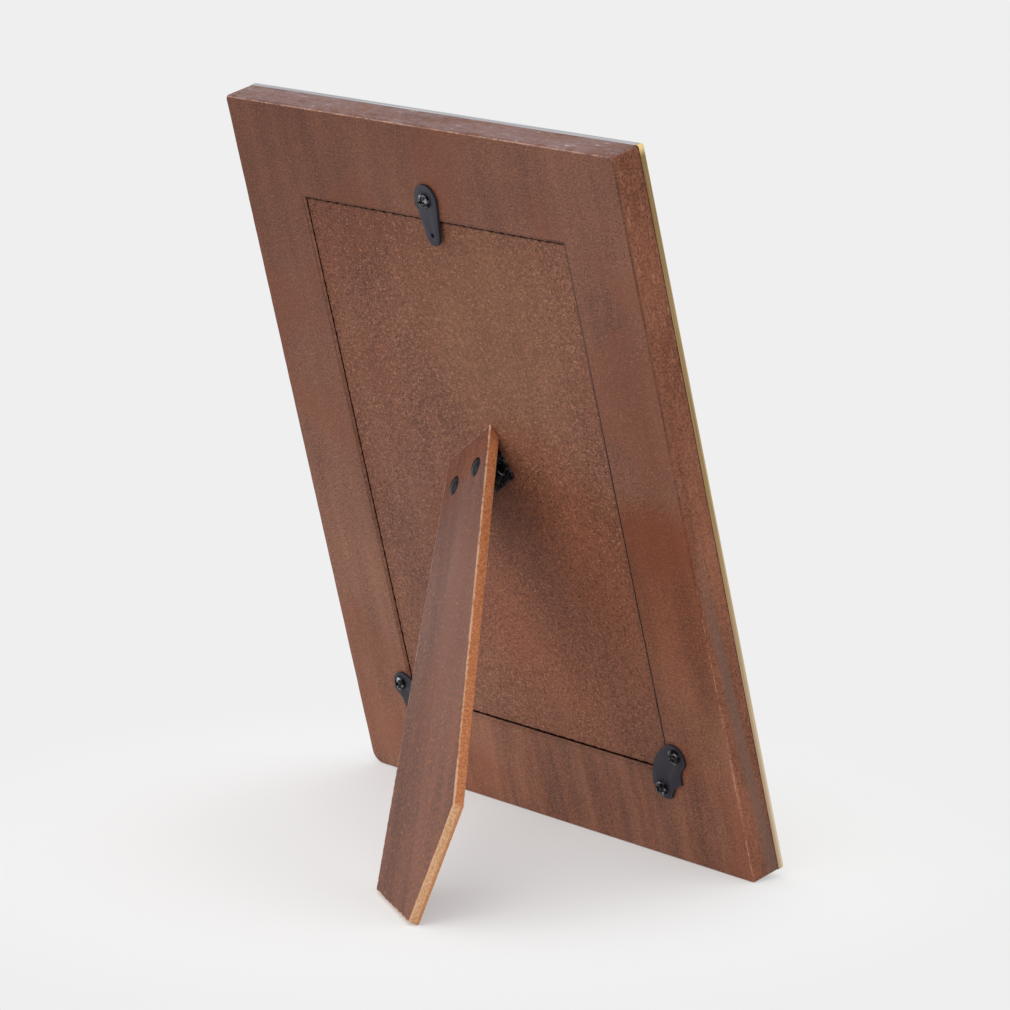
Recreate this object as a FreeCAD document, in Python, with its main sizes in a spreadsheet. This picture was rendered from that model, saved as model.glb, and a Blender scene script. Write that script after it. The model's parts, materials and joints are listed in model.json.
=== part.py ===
import FreeCAD, Part
import math
import os
import Sketcher

# An easel back photo frame for a 13 x 18 cm print, standing on its leg.
# Every piece is drawn as it is seen from behind: x to the right, y up the frame from the
# middle of its bottom edge, z out of the back face. The standing placement then turns the
# whole object upright, leans it back on its leg and sets it on the ground.

# Driving sizes in millimetres, with angles in degrees and shares without a unit.
SIZES = {
    # Stained board frame and the thin brass face on its front
    "frame_width": 195.0,
    "frame_height": 241.5,
    "board_thick": 10.7,
    "fascia_thick": 2.3,
    "rail_width": 31.7,
    "lip_width": 5.0,
    "corner_radius": 1.6,
    "worn_corner_radius": 4.5,
    "arris_radius": 1.0,
    "front_arris_radius": 0.3,
    "fascia_arris_radius": 0.8,
    "fascia_reveal": 0.6,
    "fascia_bevel": 0.5,
    # Layers in the rebate, counted from the back
    "rebate_gap": 0.5,
    "panel_recess": 1.0,
    "panel_thick": 3.0,
    "panel_corner_radius": 0.8,
    "insert_thick": 0.3,
    "glass_thick": 2.0,
    # Easel leg: distances along it are measured from its top edge
    "leg_thick": 3.5,
    "leg_top_width": 31.4,
    "leg_flare_share": 0.0822,
    "leg_tip_along": 167.0,
    "leg_tip_aside": 3.2,
    "leg_corner_along": 135.7,
    "leg_corner_radius": 1.2,
    "leg_arris_radius": 0.35,
    "leg_top_aside": 4.86,
    "leg_top_height": 133.3,
    "leg_turn_deg": 32.7,
    "leg_open_deg": 41.1,
    # Hinge
    "leaf_thick": 0.6,
    "leaf_width": 25.2,
    "leaf_reach": 9.2,
    "leaf_corner_radius": 1.6,
    "leaf_notch_gap": 0.3,
    "pin_radius": 0.65,
    "pin_running_gap": 0.05,
    "pin_peen_radius": 1.05,
    "pin_peen_length": 0.9,
    "pin_peen_bevel": 0.3,
    "knuckle_lift": 0.2,
    "knuckle_gap": 0.3,
    # Rivets of the hinge
    "rivet_from_axis": 4.4,
    "panel_rivet_aside": 8.5,
    "leg_rivet_aside": 8.1,
    "rivet_shank_radius": 1.1,
    "rivet_fit_gap": 0.05,
    "panel_rivet_head_radius": 2.1,
    "panel_rivet_head_height": 0.8,
    "leg_rivet_head_radius": 3.4,
    "leg_rivet_head_height": 1.0,
    "rivet_tail_radius": 1.7,
    "rivet_tail_height": 0.35,
    # Turn button over the top edge of the back panel
    "button_aside": 1.4,
    "button_above_opening": 6.9,
    "button_tilt_deg": 1.0,
    "button_reach": 12.1,
    "button_head_radius": 5.3,
    "button_end_radius": 3.1,
    "button_eye_radius": 0.75,
    "button_eye_reach": 11.6,
    "button_spur_length": 0.6,
    "button_spur_drop": 1.7,
    "button_spur_foot": 3.6,
    "button_spur_hollow": 0.3,
    "button_thick": 1.0,
    "button_play": 0.05,
    # Lobed plates over the bottom corners of the back panel
    "plate_thick": 1.0,
    "plate_shoulder_aside": 8.6,
    "plate_shoulder_height": 4.5,
    "plate_crown_bulge": 2.2,
    "plate_lobe_bulge": 3.0,
    "plate_heel_aside": 8.0,
    "plate_heel_depth": 4.9,
    "plate_waist_bulge": 1.1,
    "plate_cusp_depth": 6.5,
    "plate_screw_aside": 7.9,
    "right_plate_out": 0.6,
    "right_plate_up": 0.9,
    "right_plate_turn_deg": 54.0,
    "left_plate_in": 1.2,
    "left_plate_down": 1.65,
    "left_plate_turn_deg": 49.0,
    # Wood screws
    "screw_head_radius": 2.4,
    "screw_head_height": 1.7,
    "screw_rim_height": 0.9,
    "screw_shank_radius": 1.1,
    "screw_length": 7.0,
    "screw_point_length": 1.8,
    "screw_point_radius": 0.25,
    "screw_fit_gap": 0.05,
    "recess_width": 0.7,
    "recess_length": 2.9,
    "recess_depth": 0.9,
    # Overrun of the cuts past the faces where they start and end
    "overrun": 2.0,
}

# Formulas worked out from the sheet, as they are seen from behind
BACK = "0"
HALF_WIDTH = "sizes.frame_width / 2"
OPENING_SIDE = "(sizes.frame_width / 2 - sizes.rail_width)"
OPENING_BOTTOM = "sizes.rail_width"
OPENING_TOP = "(sizes.frame_height - sizes.rail_width)"
PANEL_BACK = "-sizes.panel_recess"
PANEL_FRONT = "-(sizes.panel_recess + sizes.panel_thick)"
INSERT_FRONT = "-(sizes.panel_recess + sizes.panel_thick + sizes.insert_thick)"
GLASS_FRONT = "-(sizes.panel_recess + sizes.panel_thick + sizes.insert_thick + sizes.glass_thick)"
REBATE_DEPTH = "(sizes.panel_recess + sizes.panel_thick + sizes.insert_thick + sizes.glass_thick)"
BOARD_FRONT = "-sizes.board_thick"

# The leg's top end is cut to lie flat on the panel, and that stops the leg when it is open.
# The hinge axis is as far from the panel as from the leg's inner face.
AXIS_HEIGHT = (
    "(sizes.pin_radius + sizes.pin_running_gap + sizes.leaf_thick + sizes.knuckle_lift)"
)
KNUCKLE_RADIUS = "(sizes.pin_radius + sizes.pin_running_gap + sizes.leaf_thick)"
AXIS_PAST_BEVEL = f"({AXIS_HEIGHT} / tan(sizes.leg_open_deg / 2))"
BEVEL_ALONG = "(sizes.leg_thick / tan(sizes.leg_open_deg))"
AXIS_ALONG_LEG = f"({BEVEL_ALONG} + {AXIS_PAST_BEVEL})"
AXIS_DOWN_PANEL = f"(sizes.leg_thick / sin(sizes.leg_open_deg) + {AXIS_PAST_BEVEL})"
KNUCKLE_COUNT = 5
RIVET_HOLE_RADIUS = "sizes.rivet_shank_radius + sizes.rivet_fit_gap"

# The frame leans back until the tip's inner edge and the rounded bottom edge of the board
# both touch the ground. A point y up and z behind the bottom edge stands y cos - z sin high,
# and the rounded edge stands r (cos + sin - 1) high, which gives the angle directly.
TURN = "sizes.leg_turn_deg"
OPEN = "sizes.leg_open_deg"
TIP_Y = (
    f"(sizes.leg_top_height + sizes.leg_tip_aside * sin({TURN})"
    f" - (sizes.leg_tip_along * cos({OPEN}) + sizes.leg_thick * sin({OPEN})) * cos({TURN}))"
)
TIP_Z = (
    f"(sizes.leg_tip_along * sin({OPEN}) - sizes.leg_thick * cos({OPEN}) - sizes.panel_recess)"
)
TIP_RISE = f"({TIP_Y} - sizes.arris_radius)"
TIP_REACH = f"({TIP_Z} + sizes.arris_radius)"
LEAN = (
    f"(acos(-sizes.arris_radius / sqrt({TIP_RISE}^2 + {TIP_REACH}^2))"
    f" - atan({TIP_REACH} / {TIP_RISE}))"
)

# The foot's long end is cut level with the ground, from the tip back to the heel.
FOOT_SLOPE = (
    f"(sin({TURN}) * cos({LEAN})"
    f" / (cos({OPEN}) * cos({TURN}) * cos({LEAN}) + sin({OPEN}) * sin({LEAN})))"
)
FOOT_HEEL_ALONG = (
    f"((sizes.leg_tip_along - {FOOT_SLOPE} * (sizes.leg_tip_aside + sizes.leg_top_width / 2))"
    f" / (1 + {FOOT_SLOPE} * sizes.leg_flare_share))"
)

# The turn button's screw, and each plate's middle and turn
BUTTON_X = "sizes.button_aside"
BUTTON_Y = f"({OPENING_TOP} + sizes.button_above_opening)"
LEFT_PLATE = (
    f"(sizes.left_plate_in - {OPENING_SIDE})",
    f"({OPENING_BOTTOM} - sizes.left_plate_down)",
    "(0 - sizes.left_plate_turn_deg)",
)
RIGHT_PLATE = (
    f"({OPENING_SIDE} + sizes.right_plate_out)",
    f"({OPENING_BOTTOM} + sizes.right_plate_up)",
    "sizes.right_plate_turn_deg",
)

doc = FreeCAD.newDocument("easel_back_photo_frame")
sheet = doc.addObject("Spreadsheet::Sheet", "sizes")
for row, (alias, number) in enumerate(SIZES.items(), start=1):
    sheet.set(f"A{row}", str(number))
    sheet.setAlias(f"A{row}", alias)
doc.recompute()


def value(formula):
    """The number that a formula of the sheet gives."""
    return float(sheet.evalExpression(formula))


# Sketch and feature helpers

def new_body(name):
    body = doc.addObject("PartDesign::Body", name)
    body.Label = name
    return body


def new_sketch(body, name, role="XY_Plane", level=BACK):
    """A sketch on one of the body's own planes, raised to a level along its normal."""
    plane = [item for item in body.Origin.OriginFeatures if item.Role == role][0]
    sketch = body.newObject("Sketcher::SketchObject", f"{body.Name}_{name}")
    sketch.AttachmentSupport = (plane, [""])
    sketch.MapMode = "FlatFace"
    sketch.setExpression("AttachmentOffset.Base.z", level)
    return sketch


def bind_size(sketch, constraint, formula):
    index = sketch.addConstraint(constraint)
    sketch.setExpression(f"Constraints[{index}]", formula)


def bind_point(sketch, geometry, point, x, y):
    """Ties one point of a curve to its place in the sketch."""
    along_x = Sketcher.Constraint("DistanceX", -1, 1, geometry, point, value(x))
    along_y = Sketcher.Constraint("DistanceY", -1, 1, geometry, point, value(y))
    bind_size(sketch, along_x, x)
    bind_size(sketch, along_y, y)


def draw_outline(sketch, corners):
    """A closed outline, counter-clockwise, from (x, y, bulge) formulas.

    The bulge is how far the side that starts at the corner swells outwards from the straight
    line to the next corner, negative where it is hollow, and None on a straight side. The arc
    over a chord c with a bulge b has the radius (c^2 / 4 + b^2) / (2 b).
    """
    ends = []
    for index, (x, y, bulge) in enumerate(corners):
        next_x, next_y, _ = corners[(index + 1) % len(corners)]
        start = FreeCAD.Vector(value(x), value(y), 0)
        finish = FreeCAD.Vector(value(next_x), value(next_y), 0)
        if bulge is None:
            sketch.addGeometry(Part.LineSegment(start, finish))
            ends.append((1, 2))
            continue
        side = finish - start
        outward = FreeCAD.Vector(side.y, -side.x, 0).normalize()
        middle = (start + finish) * 0.5 + outward * value(bulge)
        if value(bulge) > 0:
            sketch.addGeometry(Part.Arc(start, middle, finish))
            ends.append((1, 2))
        else:
            sketch.addGeometry(Part.Arc(finish, middle, start))
            ends.append((2, 1))
    for index, (x, y, bulge) in enumerate(corners):
        following = (index + 1) % len(corners)
        sketch.addConstraint(Sketcher.Constraint(
            "Coincident", index, ends[index][1], following, ends[following][0]))
        bind_point(sketch, index, ends[index][0], x, y)
        if bulge is not None:
            next_x, next_y, _ = corners[following]
            chord_squared = f"((({next_x}) - ({x}))^2 + (({next_y}) - ({y}))^2)"
            radius = f"abs(({chord_squared} / 4 + ({bulge})^2) / (2 * ({bulge})))"
            bind_size(sketch, Sketcher.Constraint("Radius", index, value(radius)), radius)


def draw_rectangle(sketch, left, bottom, right, top):
    draw_outline(sketch, [
        (left, bottom, None),
        (right, bottom, None),
        (right, top, None),
        (left, top, None),
    ])


def draw_circle(sketch, x, y, radius):
    centre = FreeCAD.Vector(value(x), value(y), 0)
    circle = Part.Circle(centre, FreeCAD.Vector(0, 0, 1), value(radius))
    index = sketch.addGeometry(circle)
    bind_point(sketch, index, 3, x, y)
    bind_size(sketch, Sketcher.Constraint("Radius", index, value(radius)), radius)


def pad(body, sketch, length, upward=True):
    """Adds the sketch's area, along its normal or against it."""
    feature = body.newObject("PartDesign::Pad", f"{sketch.Name}_pad")
    feature.Profile = sketch
    feature.Reversed = not upward
    feature.setExpression("Length", length)
    doc.recompute()
    return feature


def pocket(body, sketch, length, both_ways=False):
    """Cuts the sketch's area out of the body, against the sketch's normal or both ways."""
    before = body.Shape.Volume
    feature = body.newObject("PartDesign::Pocket", f"{sketch.Name}_pocket")
    feature.Profile = sketch
    feature.Midplane = both_ways
    feature.setExpression("Length", length)
    doc.recompute()
    if not body.Shape.Volume < before:
        raise RuntimeError(f"{feature.Name} cuts nothing")
    return feature


def revolve(body, sketch, axis):
    """A full turn of the sketch's area about one of the body's own axes."""
    line = [item for item in body.Origin.OriginFeatures if item.Role == axis][0]
    feature = body.newObject("PartDesign::Revolution", f"{sketch.Name}_turn")
    feature.Profile = sketch
    feature.ReferenceAxis = (line, [""])
    feature.Angle = 360
    doc.recompute()
    return feature


def soften(body, kind, name, size, wanted):
    """Rounds or bevels the edges of the body that pass the test."""
    base = body.Tip
    edges = [
        f"Edge{number}"
        for number, edge in enumerate(base.Shape.Edges, start=1)
        if wanted(edge.BoundBox)
    ]
    feature = body.newObject(f"PartDesign::{kind}", f"{body.Name}_{name}")
    feature.Base = (base, edges)
    feature.setExpression("Radius" if kind == "Fillet" else "Size", size)
    doc.recompute()
    return feature


NEAR = 1e-4 * value("sizes.frame_width")


def upright(box):
    """Is the edge square to the face, so that it shows as a corner of the outline?"""
    return box.XLength < NEAR and box.YLength < NEAR


def level_with(level):
    """A test for the edges that lie in the plane z = level."""
    height = value(level)
    return lambda box: abs(box.ZMin - height) < NEAR and abs(box.ZMax - height) < NEAR


# The flat boards of the frame

def round_outline_corners(body):
    """Rounds the four outer corners, one of them more, as on the worn original."""
    def is_worn(box):
        return box.Center.x < 0 and box.Center.y < value("sizes.frame_height / 2")

    soften(body, "Fillet", "corners", "sizes.corner_radius",
           lambda box: upright(box) and not is_worn(box))
    soften(body, "Fillet", "worn_corner", "sizes.worn_corner_radius",
           lambda box: upright(box) and is_worn(box))


def draw_frame_outline(sketch):
    draw_rectangle(sketch, f"-{HALF_WIDTH}", "0", HALF_WIDTH, "sizes.frame_height")


def draw_opening(sketch, inset):
    """The back opening, drawn in by an inset on all four sides."""
    draw_rectangle(
        sketch,
        f"-({OPENING_SIDE} - {inset})",
        f"{OPENING_BOTTOM} + {inset}",
        f"{OPENING_SIDE} - {inset}",
        f"{OPENING_TOP} - {inset}",
    )


def build_frame_body():
    body = new_body("frame_body")
    outline = new_sketch(body, "outline")
    draw_frame_outline(outline)
    pad(body, outline, "sizes.board_thick", upward=False)
    round_outline_corners(body)
    soften(body, "Fillet", "back_arris", "sizes.arris_radius", level_with(BACK))
    soften(body, "Fillet", "front_arris", "sizes.front_arris_radius", level_with(BOARD_FRONT))

    rebate = new_sketch(body, "rebate")
    draw_opening(rebate, "0")
    pocket(body, rebate, REBATE_DEPTH)

    window = new_sketch(body, "window")
    draw_opening(window, "sizes.lip_width")
    pocket(body, window, "sizes.board_thick + sizes.overrun")

    pilot_radius = "sizes.screw_shank_radius + sizes.screw_fit_gap"
    pilot_holes = new_sketch(body, "pilot_holes")
    draw_circle(pilot_holes, BUTTON_X, BUTTON_Y, pilot_radius)
    for plate_x, plate_y, turn in (LEFT_PLATE, RIGHT_PLATE):
        for side in ("-", ""):
            aside = f"{side}sizes.plate_screw_aside"
            draw_circle(
                pilot_holes,
                f"{plate_x} + {aside} * cos({turn})",
                f"{plate_y} + {aside} * sin({turn})",
                pilot_radius,
            )
    pocket(body, pilot_holes, "sizes.screw_length")
    return body


def build_front_fascia():
    body = new_body("front_fascia")
    outline = new_sketch(body, "outline", level=BOARD_FRONT)
    draw_frame_outline(outline)
    pad(body, outline, "sizes.fascia_thick", upward=False)
    round_outline_corners(body)
    front = f"{BOARD_FRONT} - sizes.fascia_thick"
    soften(body, "Fillet", "front_arris", "sizes.fascia_arris_radius", level_with(front))

    window = new_sketch(body, "window", level=BOARD_FRONT)
    draw_opening(window, "(sizes.lip_width + sizes.fascia_reveal)")
    pocket(body, window, "sizes.fascia_thick + sizes.overrun")

    window_reach = value(f"{OPENING_SIDE} - sizes.lip_width")
    at_front = level_with(front)
    soften(body, "Chamfer", "window_bevel", "sizes.fascia_bevel",
           lambda box: at_front(box) and abs(box.XMin) < window_reach
           and abs(box.XMax) < window_reach)
    return body


def build_sheet(name, front, thick):
    """A flat sheet that drops into the rebate with the common gap all round."""
    body = new_body(name)
    outline = new_sketch(body, "outline", level=front)
    draw_opening(outline, "sizes.rebate_gap")
    pad(body, outline, thick)
    return body


def build_back_panel():
    body = build_sheet("back_panel", PANEL_FRONT, "sizes.panel_thick")
    soften(body, "Fillet", "corners", "sizes.panel_corner_radius", upright)
    return body


# Screws, button and plates on the back face

def draw_button_outline(sketch):
    """A drop shape: two arcs joined by their outer tangents, with a small spur on the left."""
    head = "sizes.button_head_radius"
    end = "sizes.button_end_radius"
    slope_sine = f"(({head} - {end}) / sizes.button_reach)"
    slope_cosine = f"sqrt(1 - {slope_sine}^2)"
    head_x = f"{head} * {slope_cosine}"
    head_y = f"-{head} * {slope_sine}"
    end_x = f"{end} * {slope_cosine}"
    end_y = f"-(sizes.button_reach + {end} * {slope_sine})"
    spur_foot_x = f"-({head} - sizes.button_spur_foot * {slope_sine}) / {slope_cosine}"
    draw_outline(sketch, [
        (head_x, head_y, f"{head} * (1 + sin(asin({slope_sine}) / 2))"),
        (f"-{head}", "0", None),
        (f"-({head} + sizes.button_spur_length)", "-sizes.button_spur_drop",
         "-sizes.button_spur_hollow"),
        (spur_foot_x, "-sizes.button_spur_foot", None),
        (f"-{end_x}", end_y, f"{end} * (1 - {slope_sine})"),
        (end_x, end_y, None),
    ])


def build_turn_button():
    """The button lies in its own frame with its screw at the origin."""
    body = new_body("turn_button")
    outline = new_sketch(body, "outline")
    draw_button_outline(outline)
    pad(body, outline, "sizes.button_thick")
    holes = new_sketch(body, "holes", level="sizes.button_thick")
    draw_circle(holes, "0", "0", "sizes.screw_shank_radius + sizes.screw_fit_gap")
    draw_circle(holes, "0", "-sizes.button_eye_reach", "sizes.button_eye_radius")
    pocket(body, holes, "sizes.button_thick + sizes.overrun")
    return body


def build_corner_plate(name):
    """A plate with a crown towards the panel, two lobes and a cusp between two hollows."""
    body = new_body(name)
    shoulder = "sizes.plate_shoulder_aside"
    heel = "sizes.plate_heel_aside"
    outline = new_sketch(body, "outline")
    draw_outline(outline, [
        (shoulder, "sizes.plate_shoulder_height", "sizes.plate_crown_bulge"),
        (f"-{shoulder}", "sizes.plate_shoulder_height", "sizes.plate_lobe_bulge"),
        (f"-{heel}", "-sizes.plate_heel_depth", "-sizes.plate_waist_bulge"),
        ("0", "-sizes.plate_cusp_depth", "-sizes.plate_waist_bulge"),
        (heel, "-sizes.plate_heel_depth", "sizes.plate_lobe_bulge"),
    ])
    pad(body, outline, "sizes.plate_thick")
    holes = new_sketch(body, "holes", level="sizes.plate_thick")
    for side in ("-", ""):
        draw_circle(holes, f"{side}sizes.plate_screw_aside", "0",
                    "sizes.screw_shank_radius + sizes.screw_fit_gap")
    pocket(body, holes, "sizes.plate_thick + sizes.overrun")
    return body


def cap_bulge(radius, height):
    """The bulge of the arc from a round cap's rim to its top."""
    ball = f"((({radius})^2 + ({height})^2) / (2 * ({height})))"
    half_chord_squared = f"((({radius})^2 + ({height})^2) / 4)"
    return f"({ball} - sqrt({ball}^2 - {half_chord_squared}))"


def build_screw(name):
    """A round-headed wood screw with a cross recess; its head stands on z = 0."""
    body = new_body(name)
    head = "sizes.screw_head_radius"
    crown = "(sizes.screw_head_height - sizes.screw_rim_height)"
    profile = new_sketch(body, "profile", role="XZ_Plane")
    draw_outline(profile, [
        ("0", "-sizes.screw_length", None),
        ("sizes.screw_point_radius", "-sizes.screw_length", None),
        ("sizes.screw_shank_radius", "-(sizes.screw_length - sizes.screw_point_length)", None),
        ("sizes.screw_shank_radius", "0", None),
        (head, "0", None),
        (head, "sizes.screw_rim_height", cap_bulge(head, crown)),
        ("0", "sizes.screw_head_height", None),
    ])
    revolve(body, profile, "Z_Axis")
    half_width = "sizes.recess_width / 2"
    half_length = "sizes.recess_length / 2"
    for name_end, across, along in (("slot", half_length, half_width),
                                    ("cross_slot", half_width, half_length)):
        slot = new_sketch(body, name_end, level="sizes.screw_head_height")
        draw_rectangle(slot, f"-{across}", f"-{along}", across, along)
        pocket(body, slot, "sizes.recess_depth")
    return body


# Leg and hinge

def build_easel_leg():
    """The leg in its own frame: x across, y up the leg, z out of its outer face."""
    body = new_body("easel_leg")

    def half_width_at(along):
        return f"(sizes.leg_top_width / 2 + sizes.leg_flare_share * {along})"

    outline = new_sketch(body, "outline")
    draw_outline(outline, [
        (f"-{half_width_at('0')}", "0", None),
        (f"-{half_width_at(FOOT_HEEL_ALONG)}", f"-{FOOT_HEEL_ALONG}", None),
        ("sizes.leg_tip_aside", "-sizes.leg_tip_along", None),
        (half_width_at("sizes.leg_corner_along"), "-sizes.leg_corner_along", None),
        (half_width_at("0"), "0", None),
    ])
    pad(body, outline, "sizes.leg_thick", upward=False)
    soften(body, "Fillet", "corners", "sizes.leg_corner_radius",
           lambda box: upright(box) and box.YMax < -NEAR)
    outer_face = level_with(BACK)
    soften(body, "Fillet", "arris", "sizes.leg_arris_radius",
           lambda box: outer_face(box) and box.YMin < -NEAR)

    cut_depth = "(sizes.leg_thick + sizes.overrun)"
    bevel = new_sketch(body, "bevel", role="YZ_Plane")
    draw_outline(bevel, [
        ("0", "0", None),
        (f"-{cut_depth} / tan(sizes.leg_open_deg)", f"-{cut_depth}", None),
        ("sizes.overrun", f"-{cut_depth}", None),
        ("sizes.overrun", "0", None),
    ])
    pocket(body, bevel, "sizes.leg_top_width + 2 * sizes.overrun", both_ways=True)

    holes = new_sketch(body, "rivet_holes")
    for side in ("-", ""):
        draw_circle(holes, f"{side}sizes.leg_rivet_aside",
                    f"-({AXIS_ALONG_LEG} + sizes.rivet_from_axis)", RIVET_HOLE_RADIUS)
    pocket(body, holes, "sizes.leg_thick + sizes.overrun")
    return body


def build_leaf(name, own_knuckles, rivet_aside):
    """A hinge leaf lying on z = 0, with the axis along x above y = 0 and its plate below it."""
    body = new_body(name)
    knuckle_length = (
        f"((sizes.leaf_width - {KNUCKLE_COUNT - 1} * sizes.knuckle_gap) / {KNUCKLE_COUNT})"
    )
    notch = f"({KNUCKLE_RADIUS} + sizes.leaf_notch_gap)"
    plate = new_sketch(body, "plate")
    draw_rectangle(plate, "-sizes.leaf_width / 2", "-sizes.leaf_reach",
                   "sizes.leaf_width / 2", f"-{notch}")
    pad(body, plate, "sizes.leaf_thick")
    lowest = value("-sizes.leaf_reach")
    soften(body, "Fillet", "corners", "sizes.leaf_corner_radius",
           lambda box: upright(box) and abs(box.YMin - lowest) < NEAR)

    for knuckle in own_knuckles:
        start = f"(-sizes.leaf_width / 2 + {knuckle} * ({knuckle_length} + sizes.knuckle_gap))"
        tongue = new_sketch(body, f"tongue_{knuckle}")
        draw_rectangle(tongue, start, f"-{notch}", f"{start} + {knuckle_length}", "0")
        pad(body, tongue, "sizes.leaf_thick")
        barrel = new_sketch(body, f"barrel_{knuckle}", role="YZ_Plane", level=start)
        draw_circle(barrel, "0", AXIS_HEIGHT, KNUCKLE_RADIUS)
        pad(body, barrel, knuckle_length)

    bore = new_sketch(body, "bore", role="YZ_Plane")
    draw_circle(bore, "0", AXIS_HEIGHT, "sizes.pin_radius + sizes.pin_running_gap")
    pocket(body, bore, "sizes.leaf_width + 2 * sizes.overrun", both_ways=True)

    holes = new_sketch(body, "rivet_holes", level="sizes.leaf_thick")
    for side in ("-", ""):
        draw_circle(holes, f"{side}{rivet_aside}", "-sizes.rivet_from_axis", RIVET_HOLE_RADIUS)
    pocket(body, holes, "sizes.leaf_thick + sizes.overrun")
    return body


def build_hinge_pin():
    """A pin along x with a bevelled peen just outside the last knuckle at each end."""
    body = new_body("hinge_pin")
    shank = "(sizes.leaf_width / 2 + sizes.pin_running_gap)"
    end = f"({shank} + sizes.pin_peen_length)"
    bevelled_end = f"({end} - sizes.pin_peen_bevel)"
    bevelled_radius = "sizes.pin_peen_radius - sizes.pin_peen_bevel"
    profile = new_sketch(body, "profile")
    draw_outline(profile, [
        (f"-{end}", "0", None),
        (end, "0", None),
        (end, bevelled_radius, None),
        (bevelled_end, "sizes.pin_peen_radius", None),
        (shank, "sizes.pin_peen_radius", None),
        (shank, "sizes.pin_radius", None),
        (f"-{shank}", "sizes.pin_radius", None),
        (f"-{shank}", "sizes.pin_peen_radius", None),
        (f"-{bevelled_end}", "sizes.pin_peen_radius", None),
        (f"-{end}", bevelled_radius, None),
    ])
    revolve(body, profile, "X_Axis")
    return body


def build_panel_rivet(name):
    """A rivet with its round head on z = 0 and its tail spread in the panel's front."""
    body = new_body(name)
    grip = "(sizes.leaf_thick + sizes.panel_thick)"
    spread = "(sizes.rivet_tail_radius - sizes.rivet_shank_radius)"
    head = "sizes.panel_rivet_head_radius"
    height = "sizes.panel_rivet_head_height"
    profile = new_sketch(body, "profile", role="XZ_Plane")
    draw_outline(profile, [
        ("0", f"-{grip}", None),
        ("sizes.rivet_tail_radius", f"-{grip}", None),
        ("sizes.rivet_shank_radius", f"-({grip} - {spread})", None),
        ("sizes.rivet_shank_radius", "0", None),
        (head, "0", cap_bulge(head, height)),
        ("0", height, None),
    ])
    revolve(body, profile, "Z_Axis")
    return body


def build_leg_rivet(name):
    """A rivet with its round head on the leg's outer face and its tail flat on the leaf."""
    body = new_body(name)
    grip = "(sizes.leg_thick + sizes.leaf_thick)"
    head = "sizes.leg_rivet_head_radius"
    height = "sizes.leg_rivet_head_height"
    profile = new_sketch(body, "profile", role="XZ_Plane")
    draw_outline(profile, [
        ("0", f"-({grip} + sizes.rivet_tail_height)", None),
        ("sizes.rivet_tail_radius", f"-({grip} + sizes.rivet_tail_height)", None),
        ("sizes.rivet_tail_radius", f"-{grip}", None),
        ("sizes.rivet_shank_radius", f"-{grip}", None),
        ("sizes.rivet_shank_radius", "0", None),
        (head, "0", cap_bulge(head, height)),
        ("0", height, None),
    ])
    revolve(body, profile, "Z_Axis")
    return body


def cut_panel_rivet_holes(panel):
    """Holes for the panel leaf's rivets, with a bevel at the front for their tails."""
    holes = new_sketch(panel, "rivet_holes", level=PANEL_BACK)
    down = f"({AXIS_DOWN_PANEL} + sizes.rivet_from_axis)"
    for side in ("-", ""):
        aside = f"{side}sizes.panel_rivet_aside"
        draw_circle(
            holes,
            f"-sizes.leg_top_aside + {down} * sin({TURN}) + {aside} * cos({TURN})",
            f"sizes.leg_top_height - {down} * cos({TURN}) + {aside} * sin({TURN})",
            RIVET_HOLE_RADIUS,
        )
    pocket(panel, holes, "sizes.panel_thick + sizes.overrun")
    at_front = level_with(PANEL_FRONT)
    hole_width = value(f"2 * ({RIVET_HOLE_RADIUS})")
    soften(panel, "Chamfer", "rivet_bevels", "sizes.rivet_tail_radius - sizes.rivet_shank_radius",
           lambda box: at_front(box) and abs(box.XLength - hole_width) < NEAR
           and abs(box.YLength - hole_width) < NEAR)


# Where the pieces go, seen from behind

def shift(x, y, z):
    return FreeCAD.Placement(FreeCAD.Vector(x, y, z), FreeCAD.Rotation())


def turned(x, y, z, angle):
    """A place on the back, turned about the line square to the face."""
    turn = FreeCAD.Rotation(FreeCAD.Vector(0, 0, 1), angle)
    return FreeCAD.Placement(FreeCAD.Vector(x, y, z), turn)


def plate_place(plate, level):
    x, y, angle = plate
    return turned(value(x), value(y), level, value(angle))


def leg_place():
    """The open leg's frame: its top edge on the panel, its length swung out from the panel."""
    turn = math.radians(value(TURN))
    opening = math.radians(value(OPEN))
    across = FreeCAD.Vector(math.cos(turn), math.sin(turn), 0)
    down_panel = FreeCAD.Vector(math.sin(turn), -math.cos(turn), 0)
    out = FreeCAD.Vector(0, 0, 1)
    down_leg = down_panel * math.cos(opening) + out * math.sin(opening)
    outer_normal = out * math.cos(opening) - down_panel * math.sin(opening)
    top = FreeCAD.Vector(
        value("-sizes.leg_top_aside"), value("sizes.leg_top_height"), value(PANEL_BACK))
    return FreeCAD.Placement(
        top, FreeCAD.Rotation(across, down_leg * -1, outer_normal, "XYZ"))


def panel_hinge_place():
    """The panel leaf's frame, under the hinge axis on the panel's back."""
    turn = math.radians(value(TURN))
    down = value(AXIS_DOWN_PANEL)
    return turned(
        value("-sizes.leg_top_aside") + down * math.sin(turn),
        value("sizes.leg_top_height") - down * math.cos(turn),
        value(PANEL_BACK),
        value(TURN),
    )


def leg_hinge_place():
    """The leg leaf's frame, in the leg's own: on its inner face, facing the panel."""
    half_turn = FreeCAD.Rotation(FreeCAD.Vector(0, 1, 0), 180)
    foot = FreeCAD.Vector(0, -value(AXIS_ALONG_LEG), -value("sizes.leg_thick"))
    return FreeCAD.Placement(foot, half_turn)


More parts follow.
